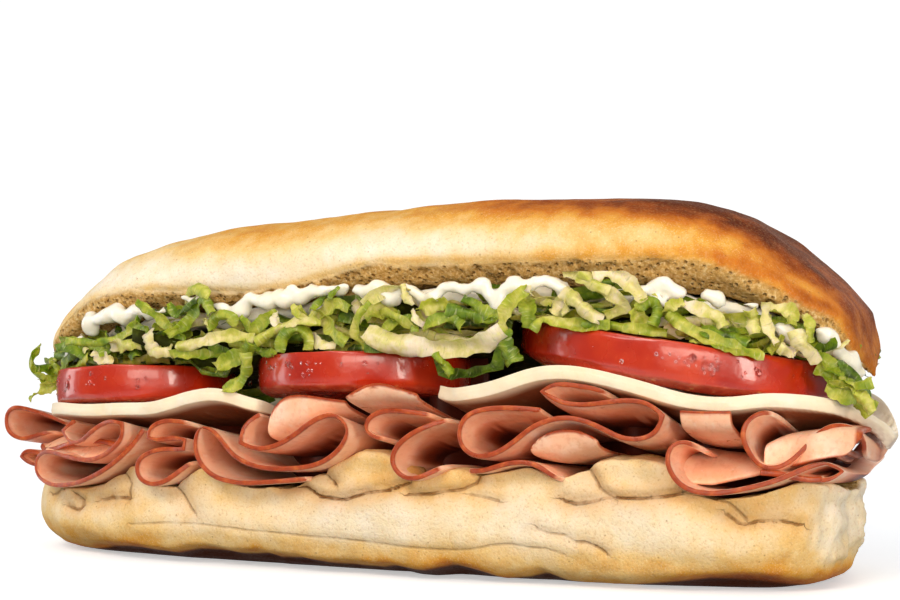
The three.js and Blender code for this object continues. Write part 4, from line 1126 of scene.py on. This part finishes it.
class Room:
    """The height between what the lettuce lies on and what presses on it, felt on a grid of 1 mm."""

    def __init__(self):
        self.lower = surface_of(*TOMATOES, "cheese_1", "cheese_2", *HAM)
        self.upper = surface_of("roll_crown")
        self.known = {}

    def at(self, x, y):
        """The two heights at a place."""
        key = (round(x), round(y))
        if key not in self.known:
            below = self.lower.ray_cast(Vector((key[0], key[1], 70)), Vector((0, 0, -1)))[0]
            above = self.upper.ray_cast(Vector((key[0], key[1], 20)), Vector((0, 0, 1)))[0]
            self.known[key] = (below.z if below else 20.0, above.z if above else 66.0)
        return self.known[key]

    def beside_tomato(self, x, y):
        """The top of the tomato whose skin is just behind this place, so that no shred hangs over it."""
        for x0, y0, radius in TOMATOES.values():
            away = math.hypot(x - x0, y - y0)
            if radius - 1 < away < radius + 7:
                share = (radius - 2.5) / away
                return self.at(x0 + (x - x0) * share, y0 + (y - y0) * share)[0]
        return 0.0

    def keep(self, points, under=0.25, over=0.3, off_tomato=False):
        """Moves points that would lie in the tomato or the crumb."""
        for p in points:
            low, high = self.at(p[0], p[1])
            if off_tomato:
                low = max(low, self.beside_tomato(p[0], p[1]))
            p[2] = max(min(p[2], high - over), low + under)
        return points


# Strips scattered by chance: how many draws, how many of them all round (the others close the left end), how
# far inside the crown's plan, how low they may lie and their tones; none starts beyond the last x.
SCATTERED, ALL_ROUND = 600, 520
INSETS, LEFT_INSETS = (3.5, 5, 6, 8, 10, 14, 20, 28), (2.5, 4, 6)
LOWEST, LOWEST_LEFT = 36.0, 33.0
STRIP_TONES = (0.05, 0.2, 0.35, 0.5, 0.6, 0.7, 0.8)
LAST_STRIP_X = 97


def heap_lettuce(leaf, shade):
    """The strips seen in front, the scattered ones, and a core painted dark as shade that closes the view between them.
    """
    chance = random.Random(23)
    room = Room()
    strips = Strips()
    for n, (out, width, tone, line) in enumerate(FRONT_SHREDS):
        line = np.array([p if len(p) == 3 else (p[0], np.nan, p[1]) for p in line])
        rows = smooth_line(np.nan_to_num(line, nan=0.0), 22)
        if np.isnan(line[:, 1]).any():
            rows[:, 1] = MIDDLE_Y - half_width(rows[:, 0], out - 0.6, CROWN_PLAN)
            rows[:, 1] += 0.9 * np.sin(np.linspace(0, 5, 22) + n)
        lean = 0.5 * math.sin(n * 2.1) + np.linspace(-0.9, 0.9, 22) * math.sin(n * 1.7)
        facing = outward(rows[:, 0], FRONT) + np.stack([0 * lean, 0 * lean, lean + 0.15], 1)
        strips.add(rows, facing, width * 0.98, tone, 0.3, 0.8, 0.4, 7, n * 1.37)
    for n in range(SCATTERED):
        all_round = n < ALL_ROUND
        turn = chance.uniform(0, 2 * math.pi) if all_round else chance.gauss(math.pi, 0.5)
        inset = chance.choice(INSETS if all_round else LEFT_INSETS) * chance.uniform(0.7, 1.3)
        side = BEHIND if turn < math.pi else FRONT
        share = (turn if side == BEHIND else 2 * math.pi - turn) / math.pi
        x0 = CROWN_MIDDLE_X + (CROWN_REACH - inset) * (0.55 * math.cos(turn) + 0.45 * (1 - 2 * share))
        y0 = side_at(x0, -inset, CROWN_PLAN, side)
        if x0 > LAST_STRIP_X:
            continue
        low, high = room.at(x0, y0)
        low = max(low, LOWEST if all_round else LOWEST_LEFT, room.beside_tomato(x0, y0))
        if high - low < 3:
            continue
        z0 = chance.uniform(low + 1.2, high - 2)
        way = outward(np.array([x0]), side)[0]
        tangent = np.array([-way[1], way[0], 0.0])
        heading = chance.gauss(0, 0.5) + (math.pi if chance.random() < 0.5 else 0)
        length = chance.uniform(12, 27)
        climb, sweep = chance.uniform(-1.1, 1.1), chance.uniform(-1.6, 1.6)
        rows = 9
        s = np.linspace(-0.5, 0.5, rows)
        angle = heading + sweep * s
        steps = np.cos(angle)[:, None] * tangent + np.sin(angle)[:, None] * way * 0.55
        steps[:, 2] = climb * np.cos(s * 5 + chance.uniform(0, 6)) * 0.6
        steps /= np.linalg.norm(steps, axis=1, keepdims=True)
        path = np.array([x0, y0, z0]) + np.cumsum(steps, 0) * length / rows
        path -= steps.sum(0) * length / rows / 2
        room.keep(path, 0.9, 1.2, True)
        path[:, 0] = np.clip(path[:, 0], -101, 102)
        roll = chance.uniform(-1.1, 1.1) + chance.uniform(-1.2, 1.2) * s
        facing = np.cos(roll)[:, None] * way + np.sin(roll)[:, None] * np.array([0, 0, 1.0])
        # Painted shade: strips set further inside the plan get a deeper green.
        tone = chance.choice(STRIP_TONES) + 0.02 * min(inset, 12)
        strips.add(path, facing, chance.uniform(1.8, 3.4), tone, 0.28, 0.7, 0.35, 4, n * 0.77)
    for points in strips.points:
        room.keep(points)
    heap = finished(strips.piece("lettuce_shreds"), leaf, "lettuce", "lettuce")
    only(heap)
    bpy.ops.object.shade_smooth_by_angle(angle=math.radians(60))
    # The core: a shrunken copy of the lettuce, painted near-black as shade.
    core = fresh_copy("lettuce", "lettuce_inside")
    co = points_of(core)
    co[:, 1] = MIDDLE_Y + (co[:, 1] - MIDDLE_Y) * 0.9
    co[:, 0] = CROWN_MIDDLE_X + (co[:, 0] - CROWN_MIDDLE_X) * 0.965
    set_points(core, co)
    finished(core, shade, "lettuce", "lettuce")


def spread_mayo(finish):
    """The spread under the crumb with its lobes, melted together from beads."""
    chance = random.Random(31)
    base = fresh_copy("mayonnaise", "mayonnaise_layer")
    bead, faces = ball(bpy.ops.mesh.primitive_ico_sphere_add, subdivisions=2)
    upper = surface_of("roll_crown")
    centres = []
    for out, width, line in FRONT_LOBES:
        flat = smooth_line([(x, 0, z) for x, z in line], 40)
        lumpy = chance.uniform(0, 6)
        for k in range(0, 40, 2):
            x, _, z = flat[k]
            swell = 0.84 + 0.24 * math.sin(x * 0.62 + lumpy) + 0.2 * math.sin(x * 1.7 + 2 * lumpy)
            swell += chance.uniform(-0.15, 0.2)
            r = max(width / 2 * swell * (0.75 if k in (0, 38) else 1), 0.55)
            y = side_at(x, out, CROWN_PLAN) + r * chance.uniform(0.6, 1.3)
            z += 0.35 * r * math.sin(x * 0.9 + lumpy)
            centres.append((x, y, z, r))
            if chance.random() < 0.3:
                beside, above = chance.uniform(-0.8, 0.8), chance.choice([-0.8, 0.6])
                centres.append((x + beside, y + 0.4 * r, z + above * r, r * 0.7))
    turn = 0.0
    while turn < math.pi:
        x = CROWN_MIDDLE_X + 98 * (0.6 * math.cos(turn) + 0.4 * (1 - 2 * turn / math.pi))
        r = chance.uniform(1.1, 2.1)
        y = side_at(x, -2.2 - r, CROWN_PLAN, BEHIND) + chance.uniform(-0.8, 1.2)
        hit = upper.ray_cast(Vector((x, y, 20)), Vector((0, 0, 1)))[0]
        if hit is not None and chance.random() < 0.86:
            for _ in range(chance.randint(2, 6)):
                centres.append((x, y, hit.z - r * 0.8, r * chance.uniform(0.8, 1.1)))
                x -= chance.uniform(0.8, 1.6)
                y = min(y, side_at(x, -1.4, CROWN_PLAN, BEHIND) - r)
        turn += chance.uniform(0.02, 0.06)
    lobes = many_balls("lobes", [bead * [1.15, 1.0, 0.9] * r + [x, y, z] for x, y, z, r in centres], faces)
    only(base)
    lobes.select_set(True)
    bpy.ops.object.join()
    modified(base, "REMESH", mode="VOXEL", voxel_size=MAYO_VOXEL * MM)
    modified(base, "SMOOTH", factor=0.5, iterations=3)
    co, out = points_of(base), normals_of(base)
    co += out * (0.1 + 0.5 * uneven(co, 5, 71) + 0.38 * uneven(co, 1.9, 72))[:, None]
    set_points(base, co)
    finished(base, finish, "mayonnaise", "mayonnaise")


def set_camera():
    bpy.ops.object.camera_add(location=(0.16735, -0.36462, 0.051))
    camera = bpy.context.object
    camera.rotation_euler = (math.radians(91.457), 0, math.radians(24))
    camera.data.sensor_width = 36
    camera.data.lens = 67.6
    camera.data.clip_start = 0.01
    bpy.context.scene.camera = camera


# Soft lights: azimuth and elevation in degrees, distance and size in metres, strength and tint.
LIGHTS = [
    ("key", -4, 34, 0.8, (0.42, 0.26), 3.05, "FFF5E8"),
    ("front fill", 22, 6, 0.95, (0.7, 0.16), 3.4, "FFF2E2"),
    ("overhead", 20, 80, 1.1, (0.9, 0.9), 0.8),
    ("left strip", -76, 5, 0.7, (0.24, 0.5), 1.5),
    ("right strip", 60, 5, 0.9, (0.14, 0.3), 2.8, "FFF4E6"),
    ("right rear strip", 152, 22, 0.9, (0.25, 0.5), 0.6),
    ("rear fill", 184, 14, 1.1, (0.9, 0.3), 1.4, "FFF4E6"),
]


def softbox(name, azimuth, elevation, distance, size, watts, tint="FFFFFF"):
    """A soft light that faces the roll from an azimuth round it, 0 being straight in front."""
    a, e = math.radians(azimuth), math.radians(elevation)
    way = Vector((math.sin(a) * math.cos(e), -math.cos(a) * math.cos(e), math.sin(e)))
    middle = Vector((0, 0, 0.04))
    bpy.ops.object.light_add(type="AREA", location=middle + way * distance)
    light = bpy.context.object
    light.name = name
    light.rotation_euler = way.to_track_quat("Z", "Y").to_euler()
    light.data.shape = "RECTANGLE"
    light.data.size, light.data.size_y = size
    light.data.energy = watts
    light.data.color = srgb(tint)[:3]
    light.visible_camera = False


def set_world():
    """A soft sky: brightest overhead, dimmer towards the horizon and below it."""
    world = bpy.data.worlds.new("studio")
    bpy.context.scene.world = world
    world.use_nodes = True
    tree = world.node_tree
    way = tree.nodes.new("ShaderNodeSeparateXYZ")
    tree.links.new(tree.nodes.new("ShaderNodeTexCoord").outputs["Generated"], way.inputs[0])
    sky = tree.nodes.new("ShaderNodeMapRange")
    for socket, value in zip(("From Min", "From Max", "To Min", "To Max"), (-0.15, 0.9, 0.2, 0.45)):
        sky.inputs[socket].default_value = value
    tree.links.new(way.outputs["Z"], sky.inputs["Value"])
    tree.links.new(sky.outputs["Result"], tree.nodes["Background"].inputs["Strength"])
    tree.nodes["Background"].inputs["Color"].default_value = (1, 1, 1, 1)


def set_backdrop():
    """A white surround that only the camera sees, so it throws no light into the food."""
    bpy.ops.mesh.primitive_ico_sphere_add(subdivisions=4, radius=7)
    surround = bpy.context.object
    surround.name = "white_surround"
    paper = bpy.data.materials.new("white paper")
    paper.use_nodes = True
    shader = paper.node_tree.nodes["Principled BSDF"]
    shader.inputs["Base Color"].default_value = (0, 0, 0, 1)
    shader.inputs["Specular IOR Level"].default_value = 0
    shader.inputs["Emission Color"].default_value = (1, 1, 1, 1)
    shader.inputs["Emission Strength"].default_value = 1.05
    surround.data.materials.append(paper)
    surround.visible_diffuse = surround.visible_glossy = surround.visible_transmission = False
    surround.visible_shadow = surround.visible_volume_scatter = False
    bpy.ops.mesh.primitive_circle_add(vertices=96, radius=0.9, fill_type="NGON", location=(0, 0, -0.0001))
    floor = bpy.context.object
    floor.name = "floor"
    floor.visible_diffuse = False
    floor.data.materials.append(floor_finish())


def set_studio():
    bpy.context.scene.view_settings.view_transform = "Standard"
    set_world()
    set_backdrop()
    for light in LIGHTS:
        softbox(*light)


bpy.ops.object.select_all(action="DESELECT")
set_camera()
set_studio()
crust = crust_finish()
bake_heel(crust)
bake_crown(crust)
ham = ham_finish()
lay_ham(ham)
tuck_ham_inside(ham, "ham_folded_in_front", -12)
tuck_ham_inside(ham, "ham_folded_behind", 17)
tuck_ham_between(ham)
lean_ham(ham)
hang_ham_leaf(ham)
lay_cheese(cheese_finish())
slice_tomatoes(tomato_finish())
add_drops(water_finish())
heap_lettuce(leaf_finish(), shade_finish())
spread_mayo(mayo_finish())
